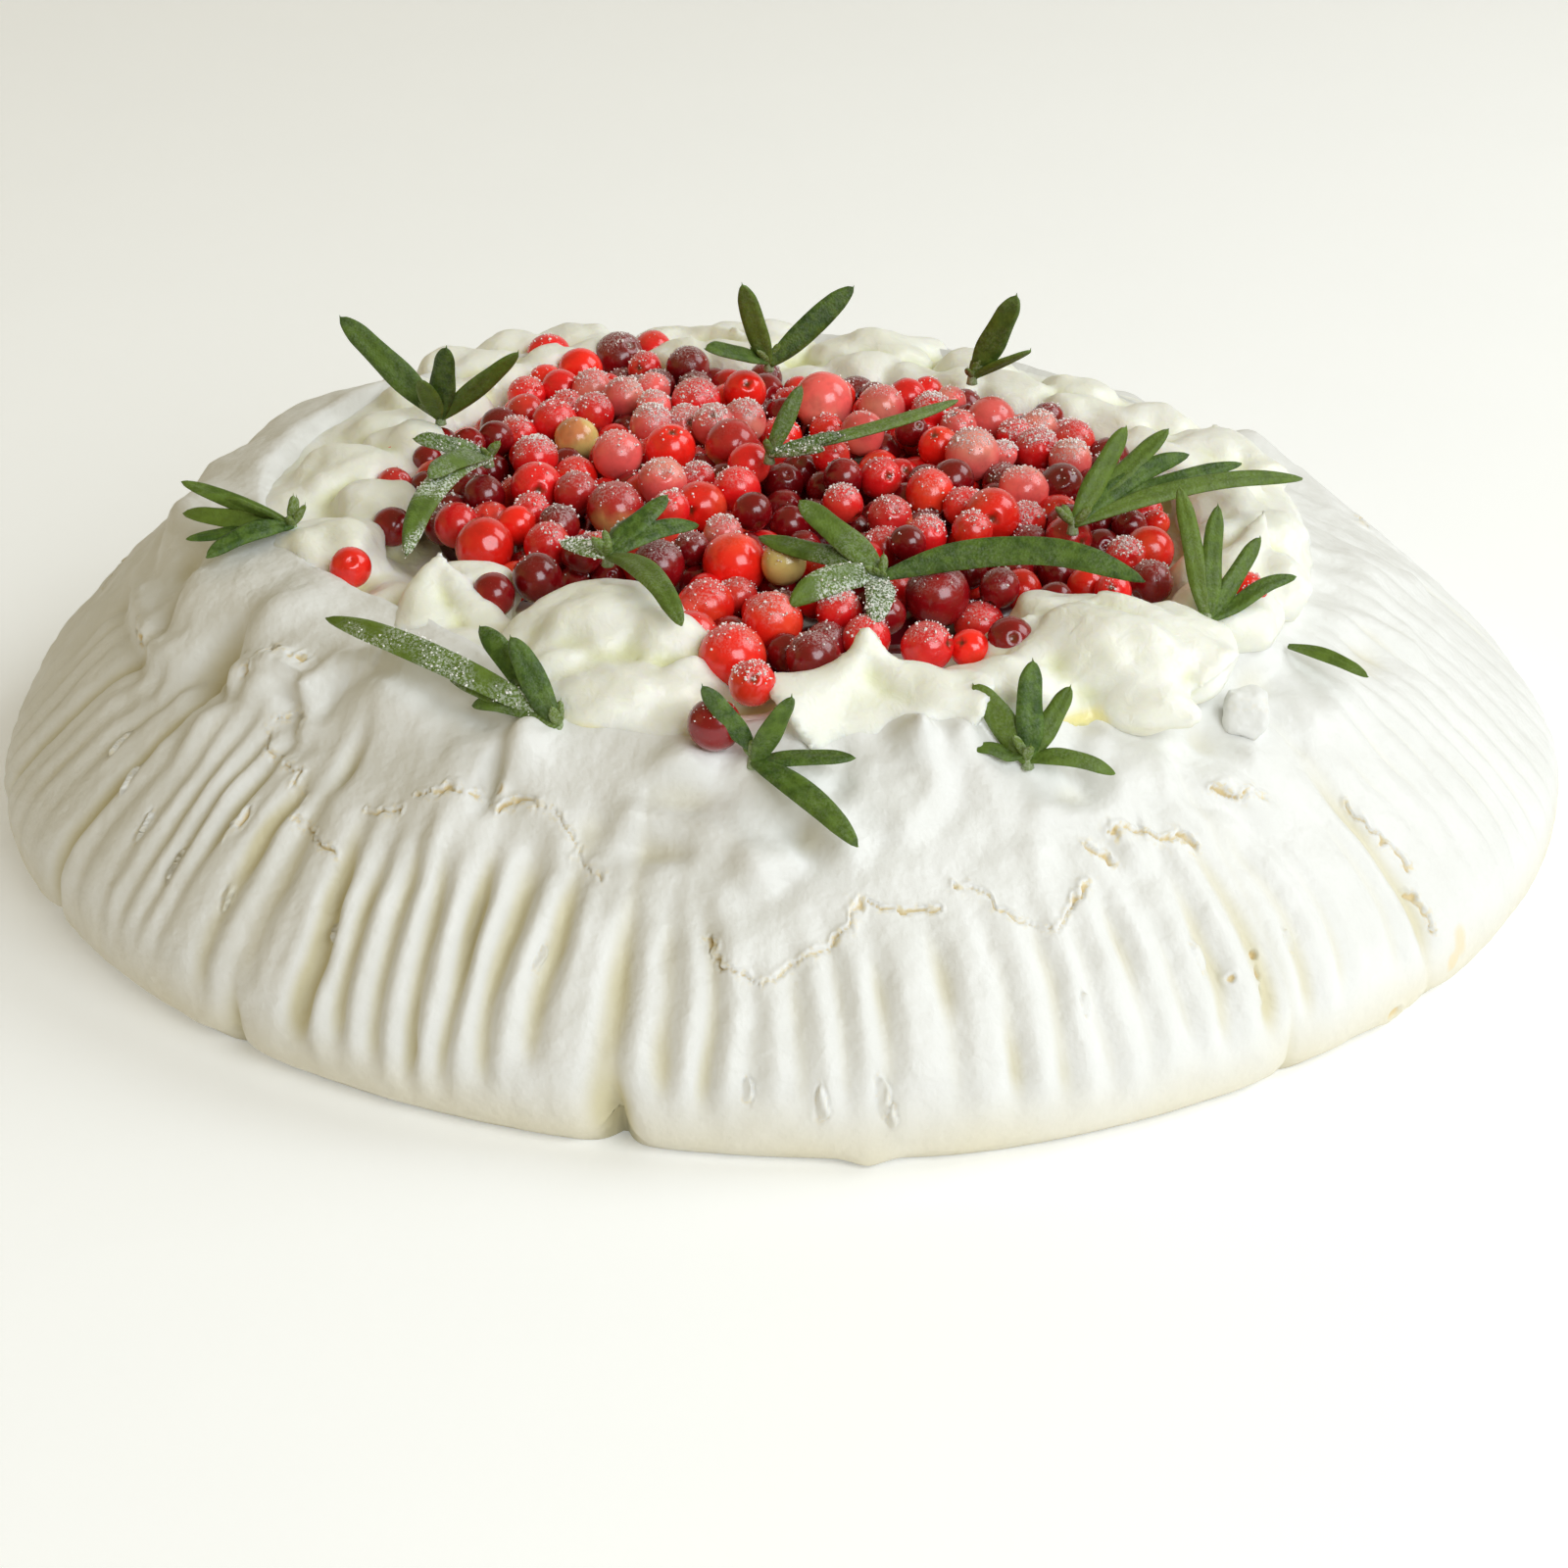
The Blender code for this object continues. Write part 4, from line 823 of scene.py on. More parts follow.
def ridge_mesh(bm, width, line):
    """A drawn-out ridge: wide at the foot, concave-sided, with a small round tip."""
    line = np.array(line, float)
    ts = np.linspace(0, 1, 15)
    path = np.stack([curve_through(ts, np.linspace(0, 1, len(line)), line[:, k]) for k in range(3)], 1)
    rows = []
    for t, p, q in zip(ts, path, np.gradient(path, axis=0)):
        q = q / np.linalg.norm(q)
        side = np.cross(q, (0, 0, 1))
        side /= np.linalg.norm(side) + 1e-9
        over = np.cross(side, q)
        r = width * ((1 - t) ** 1.35 * 0.92 + 0.075)
        rows.append([bm.verts.new(p + r * (math.cos(a) * side + math.sin(a) * over)) for a in np.arange(20) * math.pi / 10])
    for one, two in zip(rows, rows[1:]):
        for i in range(20):
            j = (i + 1) % 20
            bm.faces.new((one[i], one[j], two[j], two[i]))
    bm.faces.new(rows[0][::-1])
    bm.faces.new(rows[-1])


def cream_skin(mat):
    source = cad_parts["cream"].data
    bm = bmesh.new()
    bm.from_mesh(source)
    for v in bm.verts:
        v.co /= MM
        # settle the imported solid's ridge a little, so that the lobes and peaks make the top
        if v.co.z > 47.5 * SIZE:
            v.co.z = 47.5 * SIZE + (v.co.z - 47.5 * SIZE) * 0.62
        elif v.co.z < 46.0 * SIZE:
            v.co.z -= 0.6
    for k, (x, y, z, rx, ry, rz, turn) in enumerate(LOBES + inner_lobes()):
        lump_mesh(bm, fit((x, y + 1.6, z)), (rx * SIZE, ry * SIZE, rz * SIZE), turn, 60 + k)
    for width, line in PEAKS:
        ridge_mesh(bm, width * SIZE, fit(np.array(line) + (0, 1.6, 0)))
    for v in bm.verts:
        v.co *= MM
    mesh = bpy.data.meshes.new("cream_skin")
    bm.to_mesh(mesh)
    bm.free()
    obj = bpy.data.objects.new("cream_skin", mesh)
    bpy.context.scene.collection.objects.link(obj)
    mod = obj.modifiers.new("melt", "REMESH")
    mod.mode = "VOXEL"
    mod.voxel_size = 0.00085
    mod.use_smooth_shade = True
    bpy.context.view_layer.update()
    solid = bpy.data.meshes.new_from_object(obj.evaluated_get(bpy.context.evaluated_depsgraph_get()))
    obj.modifiers.clear()
    obj.data = solid
    points = points_of(solid)
    edges = np.empty(len(solid.edges) * 2, np.int32)
    solid.edges.foreach_get("vertices", edges)
    a, b = edges.reshape(-1, 2).T
    count = np.bincount(a, minlength=len(points)) + np.bincount(b, minlength=len(points))
    rough = points.copy()
    for _ in range(4):
        total = np.zeros_like(points)
        np.add.at(total, a, points[b])
        np.add.at(total, b, points[a])
        points = points + 0.55 * (total / count[:, None] - points)
    wide = points.copy()
    for _ in range(26):
        total = np.zeros_like(points)
        np.add.at(total, a, wide[b])
        np.add.at(total, b, wide[a])
        wide = wide + 0.6 * (total / count[:, None] - wide)
    move_points(solid, points)
    normals = normals_of(solid)
    # painted shade mask: how far each point lies sunk below the smoothed cream, for the shade tinted into its folds
    fold_shade = np.clip(((wide - points) * normals).sum(1) / 0.75, 0, 1)
    move = -0.55 * np.clip(((wide - points) * normals).sum(1), -1.6, 1.6) + 0.30 * fractal(Noise(51), points * (1, 1, 1.5), 7.0, 2) + 0.10 * fractal(Noise(52), points, 2.4, 2)
    # streaks that the spoon left
    move += 0.16 * np.sin(points[:, 0] * 0.9 + points[:, 1] * 0.45 + 2.5 * Noise(53)(points, 9.0)) * smooth(-0.2, 0.5, Noise(54)(points, 14.0))
    points = points + normals * move[:, None]
    move_points(solid, points)
    melt = np.zeros(len(points))
    for line in MELT:
        d, _ = near_line(points, fit(line))
        melt = np.maximum(melt, np.exp(-((d / 1.9) ** 2)))
    melt = np.maximum(melt, 0.35 * (1 - smooth(45.5, 47.5, points[:, 2])))
    set_attribute(solid, "fold_shade", fold_shade)
    set_attribute(solid, "melt", melt)
    solid.materials.clear()
    solid.materials.append(mat)
    solid.shade_smooth()
    obj.name = "cream_skin"
    return obj


# ---------------------------------------------------------------- berries

# every berry that shows in the heap: place, diameter, kind (r red, b bright, d or D dark, p pale, y yellow, o part ripe) and sugar
HEAP = (
(-8.7, -94.9, 52.1, 7.7, "D", 1), (4.8, -72.4, 53.4, 7.9, "D", 2), (33.3, -63.5, 52.7, 7, "D", 0), (23, -51.5, 54.7,
9.7, "D", 2), (-41.1, -50.4, 53.5, 7.2, "D", 0), (-3.6, -83.2, 52, 6.8, "b", 2), (-6.7, -71.9, 53.2, 10.1, "b", 2),
(27.2, -66.4, 52.4, 5.9, "b", 0), (-1, -61.3, 54.5, 8.8, "b", 2), (-10.9, -54.3, 53.8, 8.5, "b", 2), (-17.4, -51.1,
55, 4, "b", 1), (35.7, -46, 53.3, 6.1, "b", 0), (45.4, -43.9, 53.1, 5.5, "b", 0), (-6.7, -41.5, 55.6, 9.6, "b", 1),
(-44.6, -31.7, 54.6, 8.9, "b", 0), (29.1, -30.8, 56.8, 6.2, "b", 2), (56.1, -29, 52.9, 8, "b", 0), (-40.1, -25.4,
55.7, 6.3, "b", 0), (32.4, -24.6, 57, 8.4, "b", 1), (-12.3, -19.5, 56.4, 8.1, "b", 1), (58.2, -18.9, 53.6, 4.2, "b",
1), (23.3, -13.9, 56.6, 7.9, "b", 2), (-17.5, 4.6, 57.4, 8.1, "b", 1), (25.5, 7.6, 56.7, 6.6, "b", 1), (-5.9, 35.7,
56.5, 7.6, "b", 0), (-34.6, 56.7, 53.4, 7.8, "b", 0), (0.8, -67.4, 52.1, 5.6, "d", 0), (-7.2, -59.7, 51.4, 6.2, "d",
0), (15.4, -59, 54.5, 6, "d", 1), (12.3, -54.2, 55.6, 6, "d", 1), (40.3, -50.5, 53.5, 5.5, "d", 0), (32.2, -50.3,
55.3, 6.1, "d", 2), (11.6, -48.4, 54.6, 6.3, "d", 2), (67.4, -47.6, 52.4, 8.4, "d", 1), (-35.9, -44.3, 54.5, 7.5, "d",
1), (28, -42.9, 55.2, 5.8, "d", 0), (-18, -42.7, 55.7, 8.1, "d", 2), (12, -42.5, 55.4, 6.1, "d", 1), (55.3, -41.3,
52.7, 6.7, "d", 2), (-0.5, -40.8, 51.3, 6, "d", 0), (-29.6, -37.5, 55.6, 6.2, "d", 0), (-13.2, -37, 56.3, 5.6, "d",
2), (19.8, -36.7, 51.4, 5.8, "d", 0), (-25.8, -36.5, 51.4, 5.8, "d", 0), (19.2, -35.2, 56.6, 5.6, "d", 1), (45.2, -34,
52.2, 6.5, "d", 0), (30.7, -33.7, 51.6, 6.7, "d", 0), (39.2, -32.7, 51.5, 6.4, "d", 0), (12.6, -26.5, 51.5, 6.4, "d",
1), (-33.7, -25.9, 55.9, 6.6, "d", 2), (-23.3, -25.5, 51.5, 6.5, "d", 1), (49.2, -25, 51.5, 6.5, "d", 0), (3.6, -24.4,
51.5, 5.9, "d", 1), (-4.2, -23.6, 57.3, 6, "d", 0), (-11, -23, 51.1, 5.6, "d", 0), (-59.8, -20, 53.4, 6.3, "d", 0),
(-17.3, -19.4, 51.5, 6.5, "d", 1), (11.3, -18.1, 51.5, 6.5, "d", 1), (48.2, -11.8, 51.6, 6.6, "d", 0), (5.2, -11.7,
51.6, 6.6, "d", 1), (-46.2, -11.2, 55.3, 6.4, "d", 1), (9.8, -10.3, 57.9, 6.1, "d", 1), (27.1, -7.7, 56.6, 7.1, "d",
1), (44.1, -7.3, 55.1, 8, "d", 1), (0.6, -7.2, 51.5, 6.3, "d", 1), (-2.5, 6, 51.6, 6.7, "d", 0), (-23, 6.3, 51.5, 6.1,
"d", 0), (-56.8, 7.6, 54.4, 5.1, "d", 0), (-46.8, 10.4, 51.4, 6.2, "d", 0), (-34.6, 10.6, 52.3, 6.2, "d", 0), (-50.3,
10.8, 55.9, 5.7, "d", 0), (21.3, 14.2, 57.1, 5.4, "d", 1), (-46.2, 14.6, 55.6, 6.1, "d", 0), (-55.2, 15, 54.1, 6.4,
"d", 0), (3.8, 15.2, 51.7, 6.8, "d", 0), (-1, 27.7, 51.5, 6.3, "d", 1), (-25.5, 30.1, 51.5, 5.7, "d", 1), (-15.9,
54.4, 54.7, 7.8, "d", 2), (-28.2, 64.4, 53, 9.3, "d", 2), (43.9, -27.8, 54.4, 7.4, "o", 1), (16.8, -25.1, 56.9, 6.9,
"o", 2), (-25.3, -20.2, 56.3, 9, "o", 2), (-31.7, -13.7, 56.5, 7.3, "o", 2), (-61.2, -2, 53.5, 5.9, "o", 1), (-7.8,
5.7, 57.7, 8.5, "o", 1), (-8.5, -32.3, 56.8, 6.2, "p", 3), (-18.3, -12.1, 57.9, 7.6, "p", 2), (37.9, -11.7, 56.4, 8,
"p", 2), (55.6, -9.1, 54.2, 4.3, "p", 2), (30.6, 2.2, 57.3, 8.8, "p", 3), (-25.9, 2.9, 57, 8, "p", 2), (46.4, 4, 55.6,
6.9, "p", 3), (35.8, 5.9, 56, 4.7, "p", 3), (-61.4, 11.3, 53.1, 7.6, "p", 1), (13.3, 12.2, 57.4, 7.3, "p", 1), (-10.8,
14.3, 58, 7, "p", 3), (-21, 15.6, 57.6, 7, "p", 3), (29.1, 17.7, 56.5, 6.1, "p", 2), (-15.4, 19, 56.4, 7, "p", 3),
(-5.8, 19, 57.1, 7.4, "p", 3), (42.4, 20.2, 55.3, 6.4, "p", 3), (34.6, 22.4, 55.9, 8.1, "p", 1), (16.8, 26.9, 56.8,
7.8, "p", 2), (-20.8, 27.4, 56.6, 5.8, "p", 3), (7.1, 29.5, 56.9, 10.1, "p", 1), (28.4, 32.6, 55.8, 5.6, "p", 2),
(-26.3, 34.5, 55.9, 7.2, "p", 3), (-21.5, 38.9, 55.8, 6.3, "p", 2), (-31.8, 41.2, 55, 7.3, "p", 3), (21, -67.9, 53.3,
7.5, "r", 2), (12.4, -65.6, 53.5, 7, "r", 2), (8.6, -59.1, 55.1, 6.8, "r", 3), (5.2, -54.1, 55, 5.7, "r", 2), (49.1,
-47.8, 53.7, 5.8, "r", 2), (48.8, -40.1, 51.2, 5.8, "r", 2), (52, -34.4, 54.1, 6.2, "r", 3), (-35.1, -32.9, 55.4, 7.1,
"r", 2), (22.3, -30.5, 56, 6.2, "r", 3), (-16.7, -24.6, 58, 6.3, "r", 3), (-49.6, -22.3, 54.5, 7.2, "r", 1), (38,
-21.1, 54.7, 6.3, "r", 3), (9.7, -20.3, 57.3, 6.3, "r", 3), (-38.3, -19.6, 55.5, 6.3, "r", 2), (28.4, -18.6, 56.1,
6.6, "r", 2), (-6.7, -14.8, 57.6, 7.3, "r", 2), (-38.1, -9.8, 56.1, 8.3, "r", 1), (-12.9, -8.7, 57, 5.8, "r", 3),
(15.7, -8.4, 57.2, 6.7, "r", 2), (-4.9, -3.7, 57.8, 6.8, "r", 0), (8.1, 0.1, 57.7, 5.9, "r", 2), (-39.1, 3.9, 56, 7.5,
"r", 3), (41.4, 9.1, 55.5, 7.9, "r", 3), (38.2, 15, 55.8, 6, "r", 3), (47.8, 15.5, 54.9, 7.3, "r", 2), (-43.1, 19.7,
54.5, 6.7, "r", 3), (-37.1, 23.2, 55.3, 7.7, "r", 2), (24.9, 24.7, 56.5, 7.1, "r", 3), (-30.8, 26.5, 55.9, 7.1, "r",
3), (-14, 30.1, 56.7, 8.1, "r", 3), (-42.4, 30.4, 54.8, 6.2, "r", 1), (21.2, 32.9, 56.4, 6.6, "r", 1), (24.7, 37.7,
55.5, 5.9, "r", 1), (-23.4, 55, 54.3, 6.1, "r", 2), (-40.7, 67.5, 52.3, 8.3, "r", 1), (-22.5, 70.1, 52.6, 7.3, "r",
1), (0.6, -44.3, 57, 7, "y", 3), (-33.2, 16.5, 54.9, 7.6, "y", 1))
HEAP_EDGE = ((-180, 61), (-165, 61), (-150, 60), (-140, 60), (-130, 57), (-122, 50), (-113, 47), (-105, 62), (-98, 79),
             (-92, 80), (-85, 72), (-75, 66), (-60, 66), (-50, 65), (-37, 70), (-20, 67), (0, 61), (20, 58), (40, 56),
             (60, 52), (85, 51), (100, 58), (112, 66), (126, 69), (140, 62), (160, 59), (180, 61))
KINDS = {"r": (0.82, 0.012, 0.014), "b": (0.93, 0.018, 0.010), "d": (0.22, 0.003, 0.006), "p": (0.90, 0.130, 0.120),
         "y": (0.74, 0.60, 0.20), "o": (0.58, 0.020, 0.020)}
PATCH = {"r": (0.80, 0.07, 0.04), "b": (0.90, 0.09, 0.03), "d": (0.42, 0.008, 0.012), "p": (0.86, 0.30, 0.22), "y": (0.66, 0.20, 0.08), "o": (0.84, 0.50, 0.18)}
LOOSE = {"berry_left": ("b", 0), "berry_left_front": ("d", 0), "berry_front_low": ("d", 1), "berry_front_high": ("b", 2), "berry_front_right": ("d", 0), "berry_right": ("b", 1)}


def berry_template(around=26, rings=18):
    """Unit berry with the dried star of the flower at its top and a shallow stalk end below."""
    verts, calyx = [], []
    for j in range(1, rings):
        t = math.pi * j / rings
        t = t - 0.10 * math.sin(2 * t) * (1 if t < math.pi / 2 else 0.4)
        for i in range(around):
            a = 2 * math.pi * i / around
            star = 0.5 + 0.5 * math.cos(4 * a)
            pit = math.exp(-((t / 0.20) ** 2))
            rim = math.exp(-(((t - 0.30 - 0.05 * star) / 0.085) ** 2))
            r = 1 - 0.15 * pit + (0.035 + 0.035 * star) * rim - 0.05 * math.exp(-(((math.pi - t) / 0.22) ** 2))
            verts.append((r * math.sin(t) * math.cos(a), r * math.sin(t) * math.sin(a), r * math.cos(t)))
            calyx.append(min(1.0, 1.1 * pit + 0.75 * rim * star))
    verts += [(0, 0, 0.86), (0, 0, -0.94)]
    calyx += [1.0, 0.55]
    faces = []
    for j in range(rings - 2):
        for i in range(around):
            k = (i + 1) % around
            faces.append((j * around + i, (j + 1) * around + i, (j + 1) * around + k, j * around + k))
    top, low = len(verts) - 2, len(verts) - 1
    last = (rings - 2) * around
    for i in range(around):
        k = (i + 1) % around
        faces.append((top, i, k))
        faces.append((low, last + k, last + i))
    return np.array(verts), np.array(calyx), faces


def turned(rng, aim=None):
    """Random rotation; with aim, the star end points roughly that way."""
    z = rng.normal(size=3) if aim is None else np.array(aim, float) + rng.normal(size=3) * 0.25
    z /= np.linalg.norm(z)
    x = np.cross(rng.normal(size=3), z)
    x /= np.linalg.norm(x)
    return np.stack([x, np.cross(z, x), z], 1)


UNIT, CALYX, FACES = berry_template()


class Bunch:
    """Berries of one kind, joined into one mesh."""

    def __init__(self):
        self.verts, self.faces, self.calyx, self.frost, self.skin = [], [], [], [], []
        self.count = 0

    def add(self, centre, diameter, kind, frost, rng, aim=None):
        turn = turned(rng, aim)
        stretch = rng.uniform(0.95, 1.04, 3)
        noise = Noise(int(rng.integers(1, 1 << 30)))
        p = UNIT * (1 + 0.022 * noise(UNIT * 2 + 9, 1.3))[:, None] * stretch
        p = p @ turn.T
        unit = p / np.linalg.norm(p, axis=1, keepdims=True)
        self.faces += [tuple(i + self.count for i in f) for f in FACES]
        self.count += len(p)
        self.verts.append(p * diameter / 2 + centre)
        self.calyx.append(CALYX * (0.55 + 0.45 * (rng.random() < 0.6)))
        top = smooth(-0.05, 0.95, unit[:, 2] + 0.42 * noise(UNIT * 2 + 40, 0.8) - 0.12)
        level = (0.0, 0.16, 0.45, 0.85)[frost] * rng.uniform(0.8, 1.15)
        self.frost.append(np.clip(top * level, 0, 1))
        main = np.array(KINDS[kind]) * rng.uniform(0.82, 1.18)
        patch = np.array(PATCH[kind])
        way = rng.normal(size=3)
        if kind == "o":
            way[2] = -1.2
        way /= np.linalg.norm(way)
        amount = smooth(0.45 if kind == "o" else 0.25, 0.95, unit @ way + 0.25 * noise(UNIT * 2 + 70, 0.7)) * (0.9 if kind in "oy" else 0.75 if kind == "p" else 0.5)
        self.skin.append(main + (patch - main) * amount[:, None])

    def finish(self, name, mat):
        return make(name, np.concatenate(self.verts), self.faces, mat,
                    {"calyx": np.concatenate(self.calyx), "frost": np.concatenate(self.frost)}, {"skin": np.concatenate(self.skin)})


def heap_berries():
    """Places of the berries of the heap, the ones that show first, then those packed in under and behind them."""
    low, high = node_box("berry_heap")
    drop = low[2] - 47.35
    rows = []
    for x, y, z, d, kind, frost in HEAP:
        rows.append([fit((x, y, z)) + (0, 0, drop), d * SIZE, kind.lower(), frost])
    # the first row of each loose berry is its own node
    for node in LOOSE:
        a, b = node_box(node)
        rows = [row for row in rows if np.linalg.norm(row[0][:2] - ((a + b) / 2)[:2]) > 5.0]
    rng = np.random.default_rng(77)
    edge = [(r[0], r[1]) for r in HEAP_EDGE]
    spots = []
    for layer_z, need in ((53.2, 0.84), (51.0, 0.84)):
        for gy in np.arange(-92, 92, 3.1):
            for gx in np.arange(-80, 80, 3.1):
                x, y = gx + rng.uniform(-1, 1), gy + rng.uniform(-1, 1)
                limit = float(round_table(edge, math.degrees(math.atan2(y - SHIFT[1], x - SHIFT[0])))) - (4.2 if layer_z > 52 else 3.4)
                if math.hypot(x - SHIFT[0], y - SHIFT[1]) < limit:
                    spots.append((x, y, layer_z + drop + rng.uniform(-0.7, 0.9), rng.uniform(5.6, 7.6), need))
    centres = np.array([row[0] for row in rows])
    radii = np.array([row[1] / 2 for row in rows])
    for x, y, z, d, need in spots:
        p = np.array([x, y, z])
        away = np.linalg.norm(centres - p, axis=1)
        if (away > (radii + d / 2) * need).all():
            rows.append([p, d, "rdbdrd"[rng.integers(0, 6)], int(rng.integers(0, 3))])
            centres = np.vstack([centres, p])
            radii = np.append(radii, d / 2)
    return rows


def heap_shade_core(mat):
    """What lies under the berries: a low dark mound that closes the gaps between them; its near-black red is painted
    shade.
    """
    verts, faces = [], []
    around, rings = 120, 26
    noise = Noise(88)
    low, _ = node_box("berry_heap")
    for j in range(rings):
        share = j / (rings - 1)
        for i in range(around):
            a = -180 + 360 * i / around
            r = (float(round_table(HEAP_EDGE, a)) - 6.0) * share
            verts.append((r * math.cos(math.radians(a)) + SHIFT[0], r * math.sin(math.radians(a)) + SHIFT[1], 0))
    verts = np.array(verts)
    share = np.repeat(np.arange(rings) / (rings - 1), around)
    verts[:, 2] = low[2] - 47.35 + 50.8 + 1.1 * noise(verts, 5.0) - 3.6 * smooth(0.9, 1.0, share)
    for j in range(rings - 1):
        for i in range(around):
            k = (i + 1) % around
            faces.append((j * around + i, (j + 1) * around + i, (j + 1) * around + k, j * around + k) if j else
                         ((j + 1) * around + i, (j + 1) * around + k, 0))
    base = len(verts)
    # inner points of the first ring are one point; close the underside with a fan
    verts = np.vstack([verts, [[SHIFT[0], SHIFT[1], low[2] - 47.35 + 46.4]]])
    last = (rings - 1) * around
    for i in range(around):
        faces.append((last + (i + 1) % around, last + i, base))
    keep = np.ones(len(verts), bool)
    keep[1:around] = False
    index = np.cumsum(keep) - 1
    faces = [tuple(int(index[v]) for v in f) for f in faces]
    verts = verts[keep]
    n = len(verts)
    # painted shade: near-black red, the shade deep between the berries
    return make("heap_shade_core", verts, faces, mat, {"calyx": np.zeros(n), "frost": np.zeros(n)}, {"skin": np.tile((0.10, 0.004, 0.008), (n, 1))})


# ---------------------------------------------------------------- rosemary

LEAF_WIDTH, LEAF_THICK = 4.8, 1.5
# foot of the sprig (x, y), then each leaf as azimuth, rise, length, arch, sideways bend
SPRIGS = {
    "rosemary_01": ((-74.3, -26.9), ((161, 15, 19, 0, 0), (172, 4, 17, 0, 1), (-165, -2, 16, 0, 0), (-142, -6, 15, 1, 0), (187, 30, 11, 0, 0))),
    "rosemary_02": ((-55.4, 18.5), ((161, 42, 23, 0, 0), (-75, 60, 17, 0, 0), (-108, 50, 12, 0, 0), (-25, 42, 20, 0, 0))),
    "rosemary_03": ((-45.5, -8.9), ((-179, 16, 12, 0, 0), (-107, -8, 34, 3, -2), (-116, 8, 18, 1, 0))),
    "rosemary_04": ((-30.5, -86.8), ((152, 13, 39, 2, 2), (134, 32, 19, 0, 0), (145, 54, 14, 0, 0), (153, 12, 18, 0, 0), (160, 4, 13, 1, 0))),
    "rosemary_05": ((-24.8, -54.8), ((49, 25, 14, 0, 0), (30, 8, 15, 1, 0), (70, 4, 13, 1, 0), (150, 5, 8, 0, 0), (-62, -5, 24, 2, 1))),
    "rosemary_06": ((-3.4, -95.4), ((188, 55, 12, 0, 0), (-43, 60, 14, 0, 0), (-8, 6, 14, 0, 0), (-46, -16, 21, 1, 0))),
    "rosemary_07": ((34.5, -90.5), ((144, 45, 13, 0, 0), (82, 70, 14, 0, 0), (40, 50, 12, 0, 0), (178, 4, 8, 0, 0), (-8, -6, 12, 1, 0))),
    "rosemary_08": ((15.0, -55.5), ((149, 6, 21, 0, 0), (136, 26, 18, 0, 0), (-148, -3, 16, 1, 0), (-96, -8, 13, 1, 0), (-7, 2, 38, 4, 3))),
    "rosemary_09": ((-1.5, -10.3), ((39, 58, 12, 0, 0), (-30, 14, 10, 0, 0), (0, 16, 12, 0, 0), (28, 6, 34, 1, -4))),
    "rosemary_10": ((-1.7, 34.0), ((-131, 66, 17, 0, 0), (-150, 20, 13, 0, 0), (14, 40, 19, 0, 0))),
    "rosemary_11": ((32.2, 33.0), ((-35, 62, 18, 0, 0), (-10, 30, 11, 0, 0))),
    "rosemary_12": ((44.2, -35.4), ((52, 42, 18, 0, 0), (46, 24, 24, 0, 0), (38, 15, 24, 1, 0), (30, 8, 31, 1, 0), (22, 3, 39, 2, 0))),
    "rosemary_13": ((62.3, -58.6), ((116, 62, 20, 0, 0), (78, 64, 17, 0, 0), (45, 42, 15, 0, 0), (22, 18, 15, 0, 0))),
    "rosemary_leaf": ((75.5, -50.5), ((-33, -8, 13, 0.5, 0),)),
}
# sugar on the leaves of a sprig: one number for each leaf
DUSTED = {"rosemary_03": (0.3, 0.75, 0.2), "rosemary_05": (0.08, 0.06, 0.45, 0.8, 0.08), "rosemary_08": (0.2, 0.12, 0.8, 0.85, 0.05),
          "rosemary_04": (0.4, 0.1, 0.04, 0.2, 0.1), "rosemary_09": (0.1, 0.4, 0.3, 0.1)}
# how far the face of a leaf is turned to the front, in degrees
TILTED = {"rosemary_08": (30, 25, 40, 35, 58), "rosemary_04": (42, 35, 20, 30, 30), "rosemary_06": (30, 10, 12, 40), "rosemary_09": (20, 20, 20, 10),
          "rosemary_03": (30, 40, 35), "rosemary_05": (35, 30, 30, 30, 35)}
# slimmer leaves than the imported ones: share of the full width, by sprig
SLIM = {"rosemary_01": 0.80, "rosemary_07": 0.80, "rosemary_12": 0.74, "rosemary_13": 0.66, "rosemary_09": 0.72, "rosemary_leaf": 0.5, "rosemary_02": 0.9,
        "rosemary_05": 0.85, "rosemary_11": 1.0, "rosemary_10": 0.85, "rosemary_08": 0.98, "rosemary_04": 0.82, "rosemary_06": 0.80}


def leaf_stations(name, leaf, corners):
    """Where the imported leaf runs: its plan from the table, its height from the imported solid's own corners."""
    (fx, fy), _ = SPRIGS[name]
    azimuth, rise, length, arch, bend = leaf
    a, e = math.radians(azimuth), math.radians(rise)
    along, across = np.array((math.cos(a), math.sin(a), 0)), np.array((-math.sin(a), math.cos(a), 0))
    found, stations = [], []
    # this leaf stands in front of a berry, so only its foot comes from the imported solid
    free = (name, azimuth) == ("rosemary_06", 188)
    for s, w in ((0.0, 0.4), (0.28, 1.0), (0.66, 0.9), (1.0, 0.16)):
        hump = 4 * s * (1 - s)
        p = np.array((fx, fy, 0)) + SHIFT + along * (length * math.cos(e) * s) + across * (bend * hump)
        p = p * SIZE + CENTRE
        rise_here = (length * math.sin(e) * s + arch * hump) * SIZE
        level = None
        for sign in (1, -1):
            q = p + across * sign * LEAF_WIDTH / 2 * w * SIZE
            d = np.hypot(corners[:, 0] - q[0], corners[:, 1] - q[1])
            if d.min() < 0.25 and not free:
                level = corners[d < d.min() + 0.02][:, 2].min()
                break
        stations.append(p)
        found.append((rise_here, level))
    known = [(i, level - rise) for i, (rise, level) in enumerate(found) if level is not None and i]
    foot = np.median([k[1] for k in known]) if known else corners[:, 2].min()
    foot = min(foot, min((k[1] for k in known), default=foot) + 1.5)
    if free:
        near = np.hypot(corners[:, 0] - stations[0][0], corners[:, 1] - stations[0][1])
        foot = np.median(corners[np.argsort(near)[:6]][:, 2])
    for i, (p, (rise, level)) in enumerate(zip(stations, found)):
        p[2] = level if level is not None and i else foot + rise
    return np.array(stations), across


